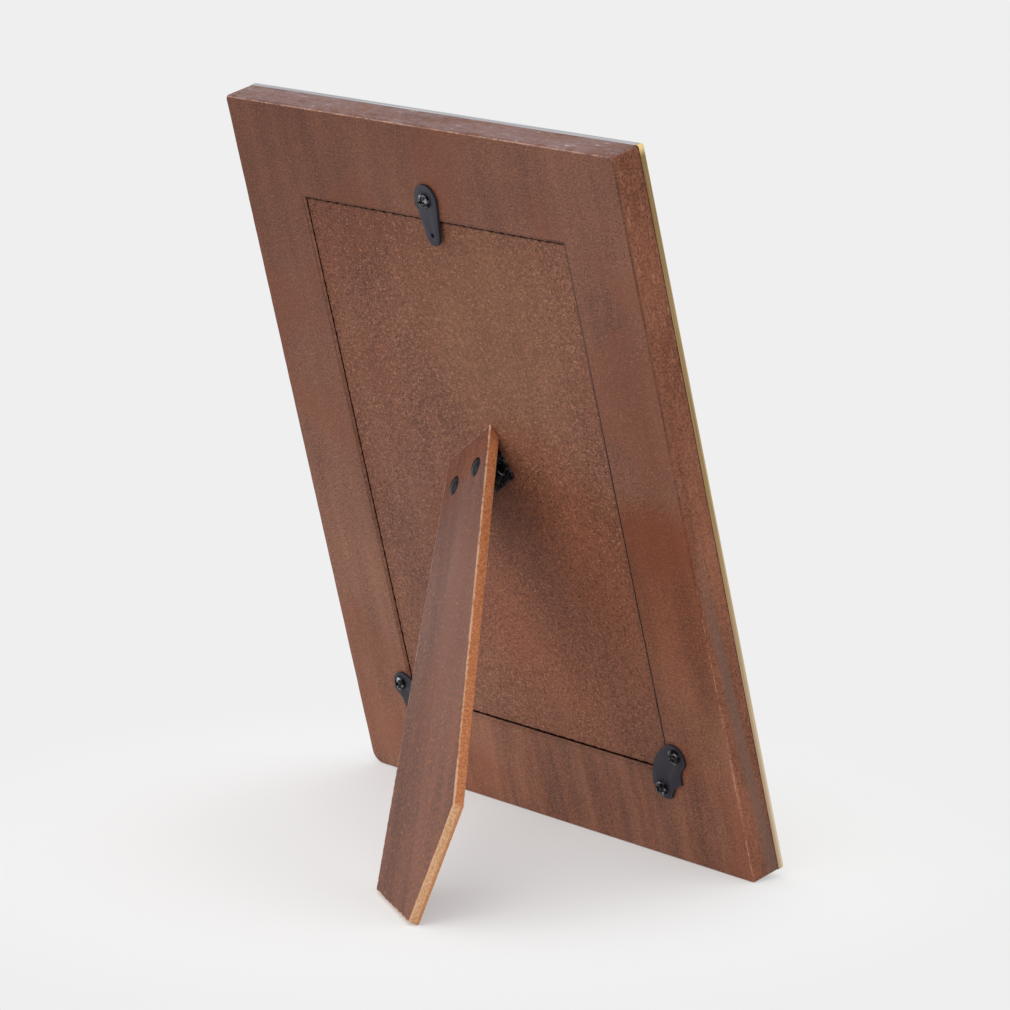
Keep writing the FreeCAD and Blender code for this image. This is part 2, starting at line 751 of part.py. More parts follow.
def standing_place():
    """Turns the back view upright, with the front towards -Y, and leans it on its leg."""
    upright_turn = FreeCAD.Rotation(
        FreeCAD.Vector(-1, 0, 0), FreeCAD.Vector(0, 0, 1), FreeCAD.Vector(0, 1, 0), "XYZ")
    lean = FreeCAD.Rotation(FreeCAD.Vector(1, 0, 0), -value(LEAN))
    return FreeCAD.Placement(FreeCAD.Vector(0, 0, 0), lean * upright_turn)


def grouped(name, bodies):
    """One named group of like pieces, each still its own solid."""
    group = doc.addObject("Part::Compound", name)
    group.Label = name
    group.Links = bodies
    return group


def build_rivets(name, build, aside, place):
    """Two rivets, one each side of the leg's middle."""
    rivets = []
    for number, side in enumerate((-1, 1), start=1):
        rivet = build(f"{name}_{number}")
        rivet.Placement = place * shift(side * value(aside), 0, 0)
        rivets.append(rivet)
    return grouped(name, rivets)


def build_plate_screws():
    screws = []
    for plate in (LEFT_PLATE, RIGHT_PLATE):
        place = plate_place(plate, value("sizes.plate_thick"))
        for side in (-1, 1):
            screw = build_screw(f"corner_plate_screw_{len(screws) + 1}")
            screw.Placement = place * shift(side * value("sizes.plate_screw_aside"), 0, 0)
            screws.append(screw)
    return grouped("corner_plate_screws", screws)


def build_pieces():
    """Every piece with its place as seen from behind."""
    here = FreeCAD.Placement()
    leg = leg_place()
    panel_hinge = panel_hinge_place()
    leg_hinge = leg * leg_hinge_place()
    rivet_down = value("sizes.rivet_from_axis")
    leaf_top = value("sizes.leaf_thick")
    button = turned(value(BUTTON_X), value(BUTTON_Y), value("sizes.button_play"),
                    value("sizes.button_tilt_deg"))
    button_head = value("sizes.button_thick + sizes.button_play")

    panel = build_back_panel()
    cut_panel_rivet_holes(panel)
    return [
        (build_frame_body(), here),
        (build_front_fascia(), here),
        (build_sheet("glass_pane", GLASS_FRONT, "sizes.glass_thick"), here),
        (build_sheet("picture_insert", INSERT_FRONT, "sizes.insert_thick"), here),
        (panel, here),
        (build_easel_leg(), leg),
        (build_leaf("hinge_panel_leaf", (0, 2, 4), "sizes.panel_rivet_aside"), panel_hinge),
        (build_leaf("hinge_leg_leaf", (1, 3), "sizes.leg_rivet_aside"), leg_hinge),
        (build_hinge_pin(), panel_hinge * shift(0, 0, value(AXIS_HEIGHT))),
        (build_rivets("panel_rivets", build_panel_rivet, "sizes.panel_rivet_aside",
                      shift(0, -rivet_down, leaf_top)), panel_hinge),
        (build_rivets("leg_rivets", build_leg_rivet, "sizes.leg_rivet_aside",
                      shift(0, -value(AXIS_ALONG_LEG) - rivet_down, 0)), leg),
        (build_turn_button(), button),
        (build_screw("turn_button_screw"), button * shift(0, 0, button_head)),
        (build_corner_plate("corner_plate_left"), plate_place(LEFT_PLATE, 0)),
        (build_corner_plate("corner_plate_right"), plate_place(RIGHT_PLATE, 0)),
        (build_plate_screws(), here),
    ]


def stand_up(pieces):
    """Stands the pieces on the ground, the origin under the middle of the whole box."""
    standing = standing_place()
    whole = FreeCAD.BoundBox()
    for piece, place in pieces:
        piece.Placement = standing * place
    doc.recompute()
    for piece, _ in pieces:
        whole.add(piece.Shape.optimalBoundingBox(False, False))
    to_origin = shift(-whole.Center.x, -whole.Center.y, -whole.ZMin)
    for piece, _ in pieces:
        piece.Placement = to_origin * piece.Placement
    doc.recompute()
    return to_origin * standing


def check_pieces(pieces):
    for item in doc.Objects:
        if "Invalid" in item.State or "Error" in item.State:
            raise RuntimeError(f"{item.Name} could not be worked out")
    for piece, _ in pieces:
        if piece.Shape.isNull() or not piece.Shape.isValid():
            raise RuntimeError(f"{piece.Label} has no sound shape")


def write_pieces(pieces):
    os.makedirs("parts", exist_ok=True)
    for piece, _ in pieces:
        piece.Shape.exportStep(f"parts/{piece.Label}.step")


def print_facts(pieces, standing):
    """The places that the joints, mounts and openings are written from, in millimetres."""
    print("lean", round(value(LEAN), 3))
    whole = FreeCAD.BoundBox()
    for piece, _ in pieces:
        box = piece.Shape.optimalBoundingBox(False, False)
        whole.add(box)
        print(piece.Label, len(piece.Shape.Solids), "solids", round(piece.Shape.Volume, 1),
              [round(number, 2) for number in (box.XMin, box.YMin, box.ZMin)],
              [round(number, 2) for number in (box.XMax, box.YMax, box.ZMax)])
    print("whole", whole)
    across = FreeCAD.Vector(1, 0, 0)
    upward = FreeCAD.Vector(0, 0, 1)
    hinge = standing * panel_hinge_place()
    print("hinge axis through", hinge.multVec(upward * value(AXIS_HEIGHT)),
          "along", hinge.Rotation.multVec(across))
    button = standing * turned(value(BUTTON_X), value(BUTTON_Y), 0, 0)
    print("button axis through", button.Base, "along", button.Rotation.multVec(upward))
    bottom = FreeCAD.Vector(0, 0, value(f"{BOARD_FRONT} / 2"))
    print("bottom face at", standing.multVec(bottom),
          "facing", standing.Rotation.multVec(FreeCAD.Vector(0, -1, 0)))
    seat = FreeCAD.Vector(0, value("sizes.frame_height / 2"), value(f"-{REBATE_DEPTH}"))
    print("glass front centre", standing.multVec(seat),
          "facing", standing.Rotation.multVec(upward * -1))


def main():
    pieces = build_pieces()
    standing = stand_up(pieces)
    check_pieces(pieces)
    write_pieces(pieces)
    print_facts(pieces, standing)


main()
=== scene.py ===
# %% [markdown]
# A stained photo frame that stands on an easel leg, seen from behind.
# It is a flat board frame with a thin brass face on its front, a loose panel that closes its
# back, small black fittings that hold the panel, and a tapered leg on a black hinge.
# The construction comes ready made as a fixed frame of named pieces. This lesson adds what a
# photograph adds to a drawing: finishes, softened and broken edges, light, floor and camera.
# %% Load the construction
import json
import math

import bmesh
import bpy
import numpy as np
from mathutils import Matrix, Vector

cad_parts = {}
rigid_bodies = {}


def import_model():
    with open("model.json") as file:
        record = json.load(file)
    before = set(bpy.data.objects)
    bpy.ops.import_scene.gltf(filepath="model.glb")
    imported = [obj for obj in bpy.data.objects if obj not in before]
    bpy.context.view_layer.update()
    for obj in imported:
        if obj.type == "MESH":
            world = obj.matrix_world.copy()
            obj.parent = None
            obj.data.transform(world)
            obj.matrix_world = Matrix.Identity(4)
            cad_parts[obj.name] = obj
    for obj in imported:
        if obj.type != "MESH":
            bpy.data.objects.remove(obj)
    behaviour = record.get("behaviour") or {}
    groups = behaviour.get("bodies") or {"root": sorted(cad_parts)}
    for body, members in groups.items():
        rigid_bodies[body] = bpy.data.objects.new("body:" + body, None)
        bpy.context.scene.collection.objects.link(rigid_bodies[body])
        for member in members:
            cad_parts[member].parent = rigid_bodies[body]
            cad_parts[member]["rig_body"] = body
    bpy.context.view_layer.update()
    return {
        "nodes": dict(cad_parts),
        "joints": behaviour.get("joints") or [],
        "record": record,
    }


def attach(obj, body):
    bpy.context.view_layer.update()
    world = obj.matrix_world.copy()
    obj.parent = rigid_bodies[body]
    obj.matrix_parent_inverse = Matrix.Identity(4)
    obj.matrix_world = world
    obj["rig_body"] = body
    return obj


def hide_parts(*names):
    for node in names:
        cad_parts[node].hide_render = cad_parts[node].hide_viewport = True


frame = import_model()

nodes = frame["nodes"]
record = frame["record"]
print("pieces in the frame:", ", ".join(sorted(nodes)))

# %% [markdown]
# The frame leans back and the leg stands off at an angle, but stain streaks, worn edges and
# brush marks follow the boards, not the room. So each flat board gets a place of its own: an
# origin and three directions, two along the board and one out of its outer face.
# They are read from the construction: a mount gives the frame's up, the button's screw gives
# its back, and the leg's largest face and its hinge give the leg's directions.
# %% Places of the boards
MM = 0.001


def place(origin, first, second, out):
    """A matrix that takes a point from a board's own directions to the room."""
    turn = Matrix((first, second, out)).transposed().to_4x4()
    return Matrix.Translation(origin) @ turn


def corners(piece):
    """The corner points of a piece's mesh as an array of rows, in metres."""
    flat = np.empty(len(piece.data.vertices) * 3, np.float32)
    piece.data.vertices.foreach_get("co", flat)
    return flat.reshape(-1, 3).astype(float)


def named(rows, name):
    """The row of a list in the record that has this name."""
    return next(row for row in rows if row["name"] == name)


def along(points, direction):
    return points @ np.array(direction)


def local_corners(node, space):
    """The corner points of a CAD node in a place's own directions, in mm."""
    inverse = np.array(space.inverted())
    return (corners(nodes[node]) @ inverse[:3, :3].T + inverse[:3, 3]) / MM


def local_box(node, space):
    """The lowest and the highest of a node's corner points along each of those directions."""
    points = local_corners(node, space)
    return points.min(0), points.max(0)


UP = -Vector(named(record["mounts"], "bottom_edge")["axis"])
OUT = Vector(named(frame["joints"], "button_turn")["axis"])
board_points = corners(nodes["frame_body"])
board_origin = UP * along(board_points, UP).min() + OUT * along(board_points, OUT).max()
BOARD = place(board_origin, UP.cross(OUT), UP, OUT)
print("the frame leans back by", round(math.degrees(math.atan2(UP.y, UP.z)), 2), "degrees")

# %% The leg's own directions
leg_mesh = nodes["easel_leg"].data
LEG_OUT = max(leg_mesh.polygons, key=lambda face: face.area * (face.normal.y > 0)).normal.copy()
HINGE = named(frame["joints"], "leg_hinge")
LEG_ACROSS = Vector(HINGE["axis"])
LEG_UP = LEG_OUT.cross(LEG_ACROSS)
leg_points = corners(nodes["easel_leg"])
leg_origin = (LEG_ACROSS * Vector(HINGE["pos_m"]).dot(LEG_ACROSS)
              + LEG_UP * along(leg_points, LEG_UP).max()
              + LEG_OUT * along(leg_points, LEG_OUT).max())
LEG = place(leg_origin, LEG_ACROSS, LEG_UP, LEG_OUT)
leg_low, leg_high = local_box("easel_leg", LEG)
print("the leg in its own directions, mm:", leg_low.round(1), leg_high.round(1))

# %% [markdown]
# The camera stands low behind the frame and to its right, and looks slightly down. Its
# bearing, climb and distance are those that bring the frame's corners to the places that they
# have in the picture. Moving it by hand until it fits would do too, but the frame's straight
# edges give it exactly. A long lens keeps the frame's sides nearly parallel.
# %% Camera
AIM = Vector((-0.00848, -0.02183, 0.11031))
BEARING = 230.932
CLIMB = 11.786
ROLL = -0.085
CAMERA_DISTANCE = 1.56443
LENS = 175.2
SENSOR = 36.0
NEAREST_SEEN = 0.05


def toward(bearing, climb):
    """The direction from the object to what stands at this bearing and climb, in degrees."""
    turn, rise = math.radians(bearing), math.radians(climb)
    level = math.cos(rise)
    return Vector((math.sin(turn) * level, -math.cos(turn) * level, math.sin(rise)))


def link(thing):
    bpy.context.scene.collection.objects.link(thing)
    return thing


camera = link(bpy.data.objects.new("camera", bpy.data.cameras.new("camera")))
camera.data.lens = LENS
camera.data.sensor_width = SENSOR
camera.data.clip_start = NEAREST_SEEN
camera.location = AIM + toward(BEARING, CLIMB) * CAMERA_DISTANCE
look = (-toward(BEARING, CLIMB)).to_track_quat("-Z", "Y").to_matrix()
camera.rotation_euler = (look @ Matrix.Rotation(math.radians(ROLL), 3, "Z")).to_euler()
bpy.context.scene.camera = camera
bpy.context.scene.view_settings.view_transform = "Standard"
print("camera at", [round(x, 3) for x in camera.location])

# %% [markdown]
# Shaders are graphs of small sums. A few helpers keep each material short: they add a node,
# feed its sockets with numbers or with other nodes' results, and give back its result.
# %% A shader graph
class Graph:
    """Adds nodes to one node tree and joins them."""

    def __init__(self, tree):
        self.tree = tree

    def node(self, kind, **settings):
        made = self.tree.nodes.new(kind)
        for name, setting in settings.items():
            setattr(made, name, setting)
        return made

    def feed(self, socket, value):
        """Joins a result to a socket, or sets the socket's own number or colour."""
        if isinstance(value, bpy.types.NodeSocket):
            self.tree.links.new(value, socket)
        elif value is not None:
            socket.default_value = value

    def math(self, operation, *values, clamp=False):
        made = self.node("ShaderNodeMath", operation=operation, use_clamp=clamp)
        for socket, value in zip(made.inputs, values):
            self.feed(socket, value)
        return made.outputs[0]

    def sum(self, *values, clamp=False):
        """Adds the values from the left, and may keep the whole between 0 and 1."""
        result = values[0]
        for value in values[1:-1]:
            result = self.math("ADD", result, value)
        return self.math("ADD", result, values[-1], clamp=clamp)

    def product(self, *values):
        result = values[0]
        for value in values[1:]:
            result = self.math("MULTIPLY", result, value)
        return result

    def vector(self, operation, first, second=None):
        """A sum on vectors. A length or a dot product comes out as a number."""
        made = self.node("ShaderNodeVectorMath", operation=operation)
        self.feed(made.inputs[0], first)
        self.feed(made.inputs[1], second)
        return made.outputs["Value" if operation in ("LENGTH", "DOT_PRODUCT") else "Vector"]

    def parts(self, vector):
        made = self.node("ShaderNodeSeparateXYZ")
        self.feed(made.inputs[0], vector)
        return made.outputs[0], made.outputs[1], made.outputs[2]

    def blend(self, share, first, second, how="MIX"):
        """Goes from the first colour to the second by a share."""
        made = self.node("ShaderNodeMix", data_type="RGBA", blend_type=how)
        color_sockets = [socket for socket in made.inputs if socket.type == "RGBA"]
        self.feed(made.inputs["Factor"], share)
        self.feed(color_sockets[0], first)
        self.feed(color_sockets[1], second)
        return next(socket for socket in made.outputs if socket.type == "RGBA")

    def tint(self, share, color, factors):
        """Multiplies red, green and blue by three factors, as far as the share says."""
        if isinstance(factors, tuple):
            factors = (*factors, 1.0)
        return self.blend(share, color, factors, "MULTIPLY")

    def ease(self, value, low, high, start=0.0, end=1.0):
        """Goes smoothly from start to end while the value goes from low to high."""
        made = self.node("ShaderNodeMapRange", interpolation_type="SMOOTHSTEP")
        for socket, number in zip(made.inputs, (value, low, high, start, end)):
            self.feed(socket, number)
        return made.outputs[0]

    def near(self, point, centre, scale, full=0.3, most=1.0):
        """A soft round patch: the most at its centre, and nothing 1.1 scaled units away."""
        away = self.vector("MULTIPLY", self.vector("SUBTRACT", point, centre), scale)
        return self.ease(self.vector("LENGTH", away), 1.1, full, 0.0, most)

    def noise(self, point, waves, detail=2.0, roughness=0.5, distortion=0.0):
        """Noise on a point in mm, with so many waves in a mm: one number, or one each way."""
        made = self.node("ShaderNodeTexNoise")
        waves = waves if isinstance(waves, tuple) else (waves, waves, waves)
        self.feed(made.inputs["Vector"], self.vector("MULTIPLY", point, waves))
        for name, number in (("Scale", 1.0), ("Detail", detail), ("Roughness", roughness),
                             ("Distortion", distortion)):
            self.feed(made.inputs[name], number)
        return made.outputs[0]

    def swing(self, noise, size):
        """How far a noise is from its middle, times a size."""
        return self.math("MULTIPLY", self.math("SUBTRACT", noise, 0.5), size)

    def group(self, tree, **inputs):
        made = self.node("ShaderNodeGroup", node_tree=tree)
        for name, value in inputs.items():
            self.feed(made.inputs[name], value)
        return made.outputs

    def attribute(self, name):
        return self.node("ShaderNodeAttribute", attribute_name=name).outputs["Fac"]

    def millimetres(self, space):
        """The shaded point in a board's own directions, in mm from its origin."""
        made = self.node("ShaderNodeMapping", vector_type="TEXTURE")
        made.inputs["Location"].default_value = space.translation
        made.inputs["Rotation"].default_value = space.to_euler()
        made.inputs["Scale"].default_value = (MM, MM, MM)
        self.feed(made.inputs["Vector"], self.node("ShaderNodeTexCoord").outputs["Object"])
        return made.outputs[0]


def new_group(name, given, results):
    """An empty shader group: its tree, graph, given values and results.

    Its sockets are listed by kind, as names with spaces between them.
    """
    tree = bpy.data.node_groups.new(name, "ShaderNodeTree")
    for way, sockets in (("INPUT", given), ("OUTPUT", results)):
        for kind, labels in sockets.items():
            for label in labels.split():
                tree.interface.new_socket(name=label, in_out=way, socket_type="NodeSocket" + kind)
    graph = Graph(tree)
    given_values = graph.node("NodeGroupInput").outputs
    return tree, graph, given_values, graph.node("NodeGroupOutput").inputs


def emptied(owner):
    """The node tree of a material or of the world, with nothing in it, as a graph."""
    owner.use_nodes = True
    owner.node_tree.nodes.clear()
    return Graph(owner.node_tree)


def new_material(name):
    """A material with only a Principled shader on its output: material, graph, its sockets."""
    material = bpy.data.materials.new(name)
    graph = emptied(material)
    shader = graph.node("ShaderNodeBsdfPrincipled")
    output = graph.node("ShaderNodeOutputMaterial")
    graph.feed(output.inputs["Surface"], shader.outputs[0])
    return material, graph, shader.inputs


def paint(red, green, blue):
    """A colour as a picture shows it, 0 to 255, in the linear shares that shaders count in."""
    shares = np.array((red, green, blue)) / 255
    linear = np.where(shares <= 0.04045, shares / 12.92, ((shares + 0.055) / 1.055) ** 2.4)
    return (*linear.tolist(), 1.0)


def grey(share):
    return (share, share, share, 1.0)


print("a walnut brown in linear shares:", [round(x, 3) for x in paint(122, 84, 68)])

# %% [markdown]
# The floor is one plain pale sheet. Near the object it is lit as it is, so that the object's
# soft shadow lies on it. Further off, the camera and reflections see an even pale tone, because
# a floor that the lamps light all over would be brighter in some places than in others.
# %% Floor
PALE = 0.863
FLOOR_TONE = 0.9
FLOOR_TONE_SEEN = 0.985
SHADOW_NEAR = 0.08
SHADOW_FAR = 0.2
SHADOW_WEAKENED = 0.35
FLOOR_RADIUS = 8.0


def rays_that_see(graph):
    """One for rays from the camera, from a reflection or through glass, else zero."""
    path = graph.node("ShaderNodeLightPath").outputs
    return graph.sum(path["Is Camera Ray"], path["Is Glossy Ray"], path["Is Transmission Ray"],
                     clamp=True)


def pale_floor_material():
    """A plain diffuse floor that turns into an even pale tone away from the object."""
    material = bpy.data.materials.new("pale floor")
    graph = emptied(material)
    seen = rays_that_see(graph)
    lit = graph.node("ShaderNodeBsdfDiffuse")
    graph.feed(lit.inputs["Color"], graph.blend(seen, grey(FLOOR_TONE), grey(FLOOR_TONE_SEEN)))
    even = graph.node("ShaderNodeEmission")
    graph.feed(even.inputs["Color"], grey(PALE))
    place_on_floor = graph.node("ShaderNodeTexCoord").outputs["Object"]
    far = graph.ease(graph.vector("LENGTH", place_on_floor), SHADOW_NEAR, SHADOW_FAR,
                     SHADOW_WEAKENED, 1.0)
    mix = graph.node("ShaderNodeMixShader")
    graph.feed(mix.inputs[0], graph.product(far, seen))
    graph.feed(mix.inputs[1], lit.outputs[0])
    graph.feed(mix.inputs[2], even.outputs[0])
    graph.feed(graph.node("ShaderNodeOutputMaterial").inputs["Surface"], mix.outputs[0])
    return material


def ring_quads(rings, columns, closed):
    """Faces of a skin: neighbours in a ring and in the next ring share one, of four points."""
    ring, column = np.meshgrid(np.arange(rings if closed else rings - 1), np.arange(columns),
                               indexing="ij")
    below, beside = (ring + 1) % rings, (column + 1) % columns
    return np.stack([ring * columns + column, ring * columns + beside,
                     below * columns + beside, below * columns + column], -1).reshape(-1, 4)


def flat_disc(name, radius, rings=8, spokes=64):
    """A level disc: a point lies at (r cos a, r sin a, 0) for a grid of radii and angles."""
    turns = np.arange(spokes) * 2 * np.pi / spokes
    radii = radius * np.arange(1, rings + 1) / rings
    rim = radii[:, None, None] * np.stack([np.cos(turns), np.sin(turns), 0 * turns], 1)[None]
    points = np.vstack([np.zeros((1, 3)), rim.reshape(-1, 3)])
    quads = 1 + ring_quads(rings, spokes, False)[:, ::-1]
    hub = [(0, 1 + i, 1 + (i + 1) % spokes) for i in range(spokes)]
    mesh = bpy.data.meshes.new(name)
    mesh.from_pydata(points.tolist(), [], hub + quads.tolist())
    return link(bpy.data.objects.new(name, mesh))


floor = flat_disc("floor", FLOOR_RADIUS)
floor.data.materials.append(pale_floor_material())
print("floor disc of", len(floor.data.polygons), "faces")

# %% [markdown]
# The light is a white studio: an even dome, a soft lamp low on the camera's left with a weaker
# one behind it, and larger, further ones on the right and above. The left lamp stands near, so
# that the lower left of the frame is a little brighter, and it throws the leg's soft shadow to
# the right. The dome alone would be simpler, but it leaves boards flat and fittings dull.
# %% Light
DOME = 0.92
# Each lamp's bearing and climb in degrees, distance and side in metres, and power in watts.
LAMPS = {
    "left lamp": (142, 9, 0.85, 0.45, 0.75),
    "back lamp": (170, 14, 1.1, 0.6, 0.4),
    "right lamp": (262, 18, 1.6, 0.8, 1.9),
    "top lamp": (205, 66, 1.6, 0.6, 2.0),
}


def light_dome():
    """Even light from all round, which the camera and reflections see as the pale tone."""
    world = bpy.data.worlds.new("studio")
    bpy.context.scene.world = world
    graph = emptied(world)
    background = graph.node("ShaderNodeBackground")
    strength = graph.ease(rays_that_see(graph), 0.0, 1.0, DOME, PALE)
    graph.feed(background.inputs["Strength"], strength)
    graph.feed(background.inputs["Color"], grey(1.0))
    graph.feed(graph.node("ShaderNodeOutputWorld").inputs[0], background.outputs[0])


def softbox(name, bearing, climb, distance, size, power):
    """A square lamp that looks at the object from a bearing and climb in degrees."""
    lamp = link(bpy.data.objects.new(name, bpy.data.lights.new(name, "AREA")))
    lamp.data.size = size
    lamp.data.energy = power
    direction = toward(bearing, climb)
    lamp.location = AIM + direction * distance
    lamp.rotation_euler = (-direction).to_track_quat("-Z", "Y").to_euler()


light_dome()
for name, setting in LAMPS.items():
    softbox(name, *setting)
print("lamps:", [lamp.name for lamp in bpy.data.lights])

# %% [markdown]
# Every board here is an outline carried through its thickness. The outline has straight edges
# and rounded corners, and each ring of the skin is that outline at one depth, drawn in by an
# inset. A rounded arris is a few rings whose inset and depth follow a quarter circle.
# A box with a bevel would be rounded too, but rings can also be roughened, and each of them
# knows how near the arris is. The same way of making serves the frame, its brass face, the
# panel, the glass and the leg.
# %% Rounded outlines
def crossings(normals, first, second):
    """Where each edge's line meets the next one's, from how far out along their normals the
    two lines lie: the point whose dot products with both normals are those two distances."""
    after = np.roll(normals, -1, axis=0)
    cross = normals[:, 0] * after[:, 1] - normals[:, 1] * after[:, 0]
    return np.stack([(first * after[:, 1] - second * normals[:, 1]) / cross,
                     (second * normals[:, 0] - first * after[:, 0]) / cross], -1)


def rounded_loops(normals, offsets, radii, arc_steps, edge_steps):
    """Closed outlines with rounded corners, one per ring, and the outward directions.

    Each corner's circle touches the two edges beside it: its centre lies one radius inside
    both. An arc turns from one edge's normal to the next one's, and an edge joins two arcs.
    """
    after = np.roll(normals, -1, axis=0)
    centres = crossings(normals, offsets - radii, np.roll(offsets, -1, axis=1) - radii)
    start = np.arctan2(normals[:, 1], normals[:, 0])
    turn = (np.roll(start, -1) - start) % (2 * np.pi)
    angles = start[:, None] + turn[:, None] * np.linspace(0, 1, arc_steps + 1)
    outward = np.stack([np.cos(angles), np.sin(angles)], -1)
    arcs = centres[:, :, None] + radii[:, :, None, None] * outward
    columns, directions = [], []
    for corner, steps in enumerate(edge_steps):
        share = (np.arange(1, steps) / steps)[None, :, None]
        end = arcs[:, corner, -1:]
        edge = end + share * (arcs[:, (corner + 1) % len(start), :1] - end)
        columns += [arcs[:, corner], edge]
        directions += [outward[corner], np.repeat(after[corner:corner + 1], steps - 1, axis=0)]
    return np.concatenate(columns, 1), np.concatenate(directions)


def steps_for(normals, offsets, pitch):
    """How many steps of about a pitch each edge takes: the one after each corner."""
    sharp = crossings(normals, offsets, np.roll(offsets, -1))
    lengths = np.linalg.norm(np.roll(sharp, -1, axis=0) - sharp, axis=1)
    return np.maximum(2, np.round(lengths / pitch)).astype(int)


RECTANGLE = np.array([(1.0, 0.0), (0.0, 1.0), (-1.0, 0.0), (0.0, -1.0)])
print("steps of 1 mm round a square of 20 mm:", steps_for(RECTANGLE, np.full(4, 10.0), 1.0))

# %% [markdown]
# Sawn and sanded edges wander a little. A sum of sines with random lengths and phases gives a
# line that hardly repeats, and it is worked out for all points of an outline at once.
# %% Uneven lines along a path
def uneven(positions, wavelength, seed, waves=24):
    """A random smooth line from about -1 to 1: a sum of sines with random phases."""
    draw = np.random.default_rng(seed)
    lengths = wavelength * draw.uniform(0.5, 2.5, waves)
    phases = draw.uniform(0, 2 * np.pi, waves)
    return np.sin(2 * np.pi * positions[:, None] / lengths + phases).sum(1) / math.sqrt(waves)


def path_positions(loop):
    """How far along a closed outline each of its points lies."""
    sides = np.linalg.norm(np.roll(loop, -1, axis=0) - loop, axis=1)
    return np.concatenate([[0], np.cumsum(sides)[:-1]])


square = 10 * np.array([(0, 0), (1, 0), (1, 1), (0, 1)])
print("the corners of a square of 10 mm lie", path_positions(square), "mm along it")

# %% [markdown]
# Rings become a mesh when neighbours share quads. Numbers that belong to a point, such as how
# near the arris is, go along as attributes for the shading. A finished piece then takes the
# place of its piece in the construction.
# %% A skin over rings
SHARP_FROM = 32


def skin(name, rings, space, closed, attributes):
    """A mesh over rings of points in mm: neighbours in a ring and between rings share a quad.

    A closed skin joins its last ring to its first. An open one gets a face over each end.
    """
    count, columns = rings.shape[:2]
    turn = np.array(space)
    points = rings.reshape(-1, 3) * MM @ turn[:3, :3].T + turn[:3, 3]
    faces = ring_quads(count, columns, closed).tolist()
    if not closed:
        faces += [np.arange(columns)[::-1].tolist(),
                  ((count - 1) * columns + np.arange(columns)).tolist()]
    mesh = bpy.data.meshes.new(name)
    mesh.from_pydata(points.tolist(), [], faces)
    shape = bmesh.new()
    shape.from_mesh(mesh)
    if shape.calc_volume(signed=True) < 0:
        bmesh.ops.reverse_faces(shape, faces=shape.faces)
        shape.to_mesh(mesh)
    volume = shape.calc_volume() / (10 * MM) ** 3
    print(f"{name}: {count} rings of {columns} points, {volume:.1f} cm3")
    shape.free()
    for label, values in attributes.items():
        layer = mesh.attributes.new(label, "FLOAT", "POINT")
        layer.data.foreach_set("value", np.ascontiguousarray(values, np.float32).ravel())
    mesh.polygons.foreach_set("use_smooth", [True] * len(mesh.polygons))
    mesh.set_sharp_from_angle(angle=math.radians(SHARP_FROM))
    return link(bpy.data.objects.new(name, mesh))


def stand_for(piece, node, material):
    """The piece takes a CAD node's place: its body, and a finish."""
    piece.data.materials.clear()
    piece.data.materials.append(material)
    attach(piece, nodes[node]["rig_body"])
    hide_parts(node)
    return piece


# %% [markdown]
# The boards are fibreboard under a brown stain. The stain lies in soft bands along the board,
# takes unevenly in clouds, and the fibres show through as fine paler and darker grains, with
# a pale fleck here and there. Its tone goes from a deep reddish to a warm golden brown.
# A picture of wood could be laid on the boards, but noise doesn't repeat, has no seam at an
# edge and fits every piece. It is counted in millimetres on the board, so the scale stays
# right on each of them.
# %% Group: stained fibreboard
OFF_WHOLE_WAVES = (0.3, 0.2, 0.65)


def stain_group():
    """A tone of 0.5 + bands + clouds + fibres goes from deep to warm; red and flecks lie on it."""
    tree, graph, given, result = new_group(
        "stained fibreboard",
        {"Vector": "Point", "Color": "Deep Warm Red Fleck",
         "Float": "Bands Clouds Redness Fibres Flecks"},
        {"Color": "Color", "Float": "Grain Tone"})
    # Part of a wave is added, because noise is flatter where a face lies at a whole wave.
    point = graph.vector("ADD", given["Point"], OFF_WHOLE_WAVES)
    broad = graph.noise(point, (0.085, 0.009, 0.085), roughness=0.6)
    narrow = graph.noise(point, (0.42, 0.03, 0.42))
    clouds = graph.noise(point, (0.03, 0.022, 0.03), detail=3.0)
    coarse = graph.noise(point, 0.7, roughness=0.6)
    fine = graph.noise(point, (1.2, 1.6, 1.6), roughness=0.6)
    grain = graph.sum(graph.swing(coarse, 0.6), graph.swing(fine, 2.1))
    tone = graph.sum(0.5, graph.product(graph.swing(broad, 1.7), given["Bands"]),
                     graph.product(graph.swing(narrow, 0.6), given["Bands"]),
                     graph.product(graph.swing(clouds, 1.8), given["Clouds"]),
                     graph.product(grain, given["Fibres"]), clamp=True)
    color = graph.blend(tone, given["Deep"], given["Warm"])
    patches = graph.noise(point, (0.016, 0.02, 0.016), distortion=0.6)
    red = graph.product(graph.ease(patches, 0.5, 0.62), given["Redness"])
    color = graph.blend(red, color, given["Red"])
    specks = graph.noise(point, (1.3, 1.8, 1.8), detail=1.0, distortion=0.6)
    fleck = graph.product(graph.ease(specks, 0.58, 0.72), given["Flecks"])
    graph.feed(result["Color"], graph.blend(fleck, color, given["Fleck"]))
    graph.feed(result["Grain"], graph.sum(grain, 0.5))
    graph.feed(result["Tone"], tone)
    return tree


STAIN = stain_group()
print("stain group has", len(STAIN.nodes), "nodes")

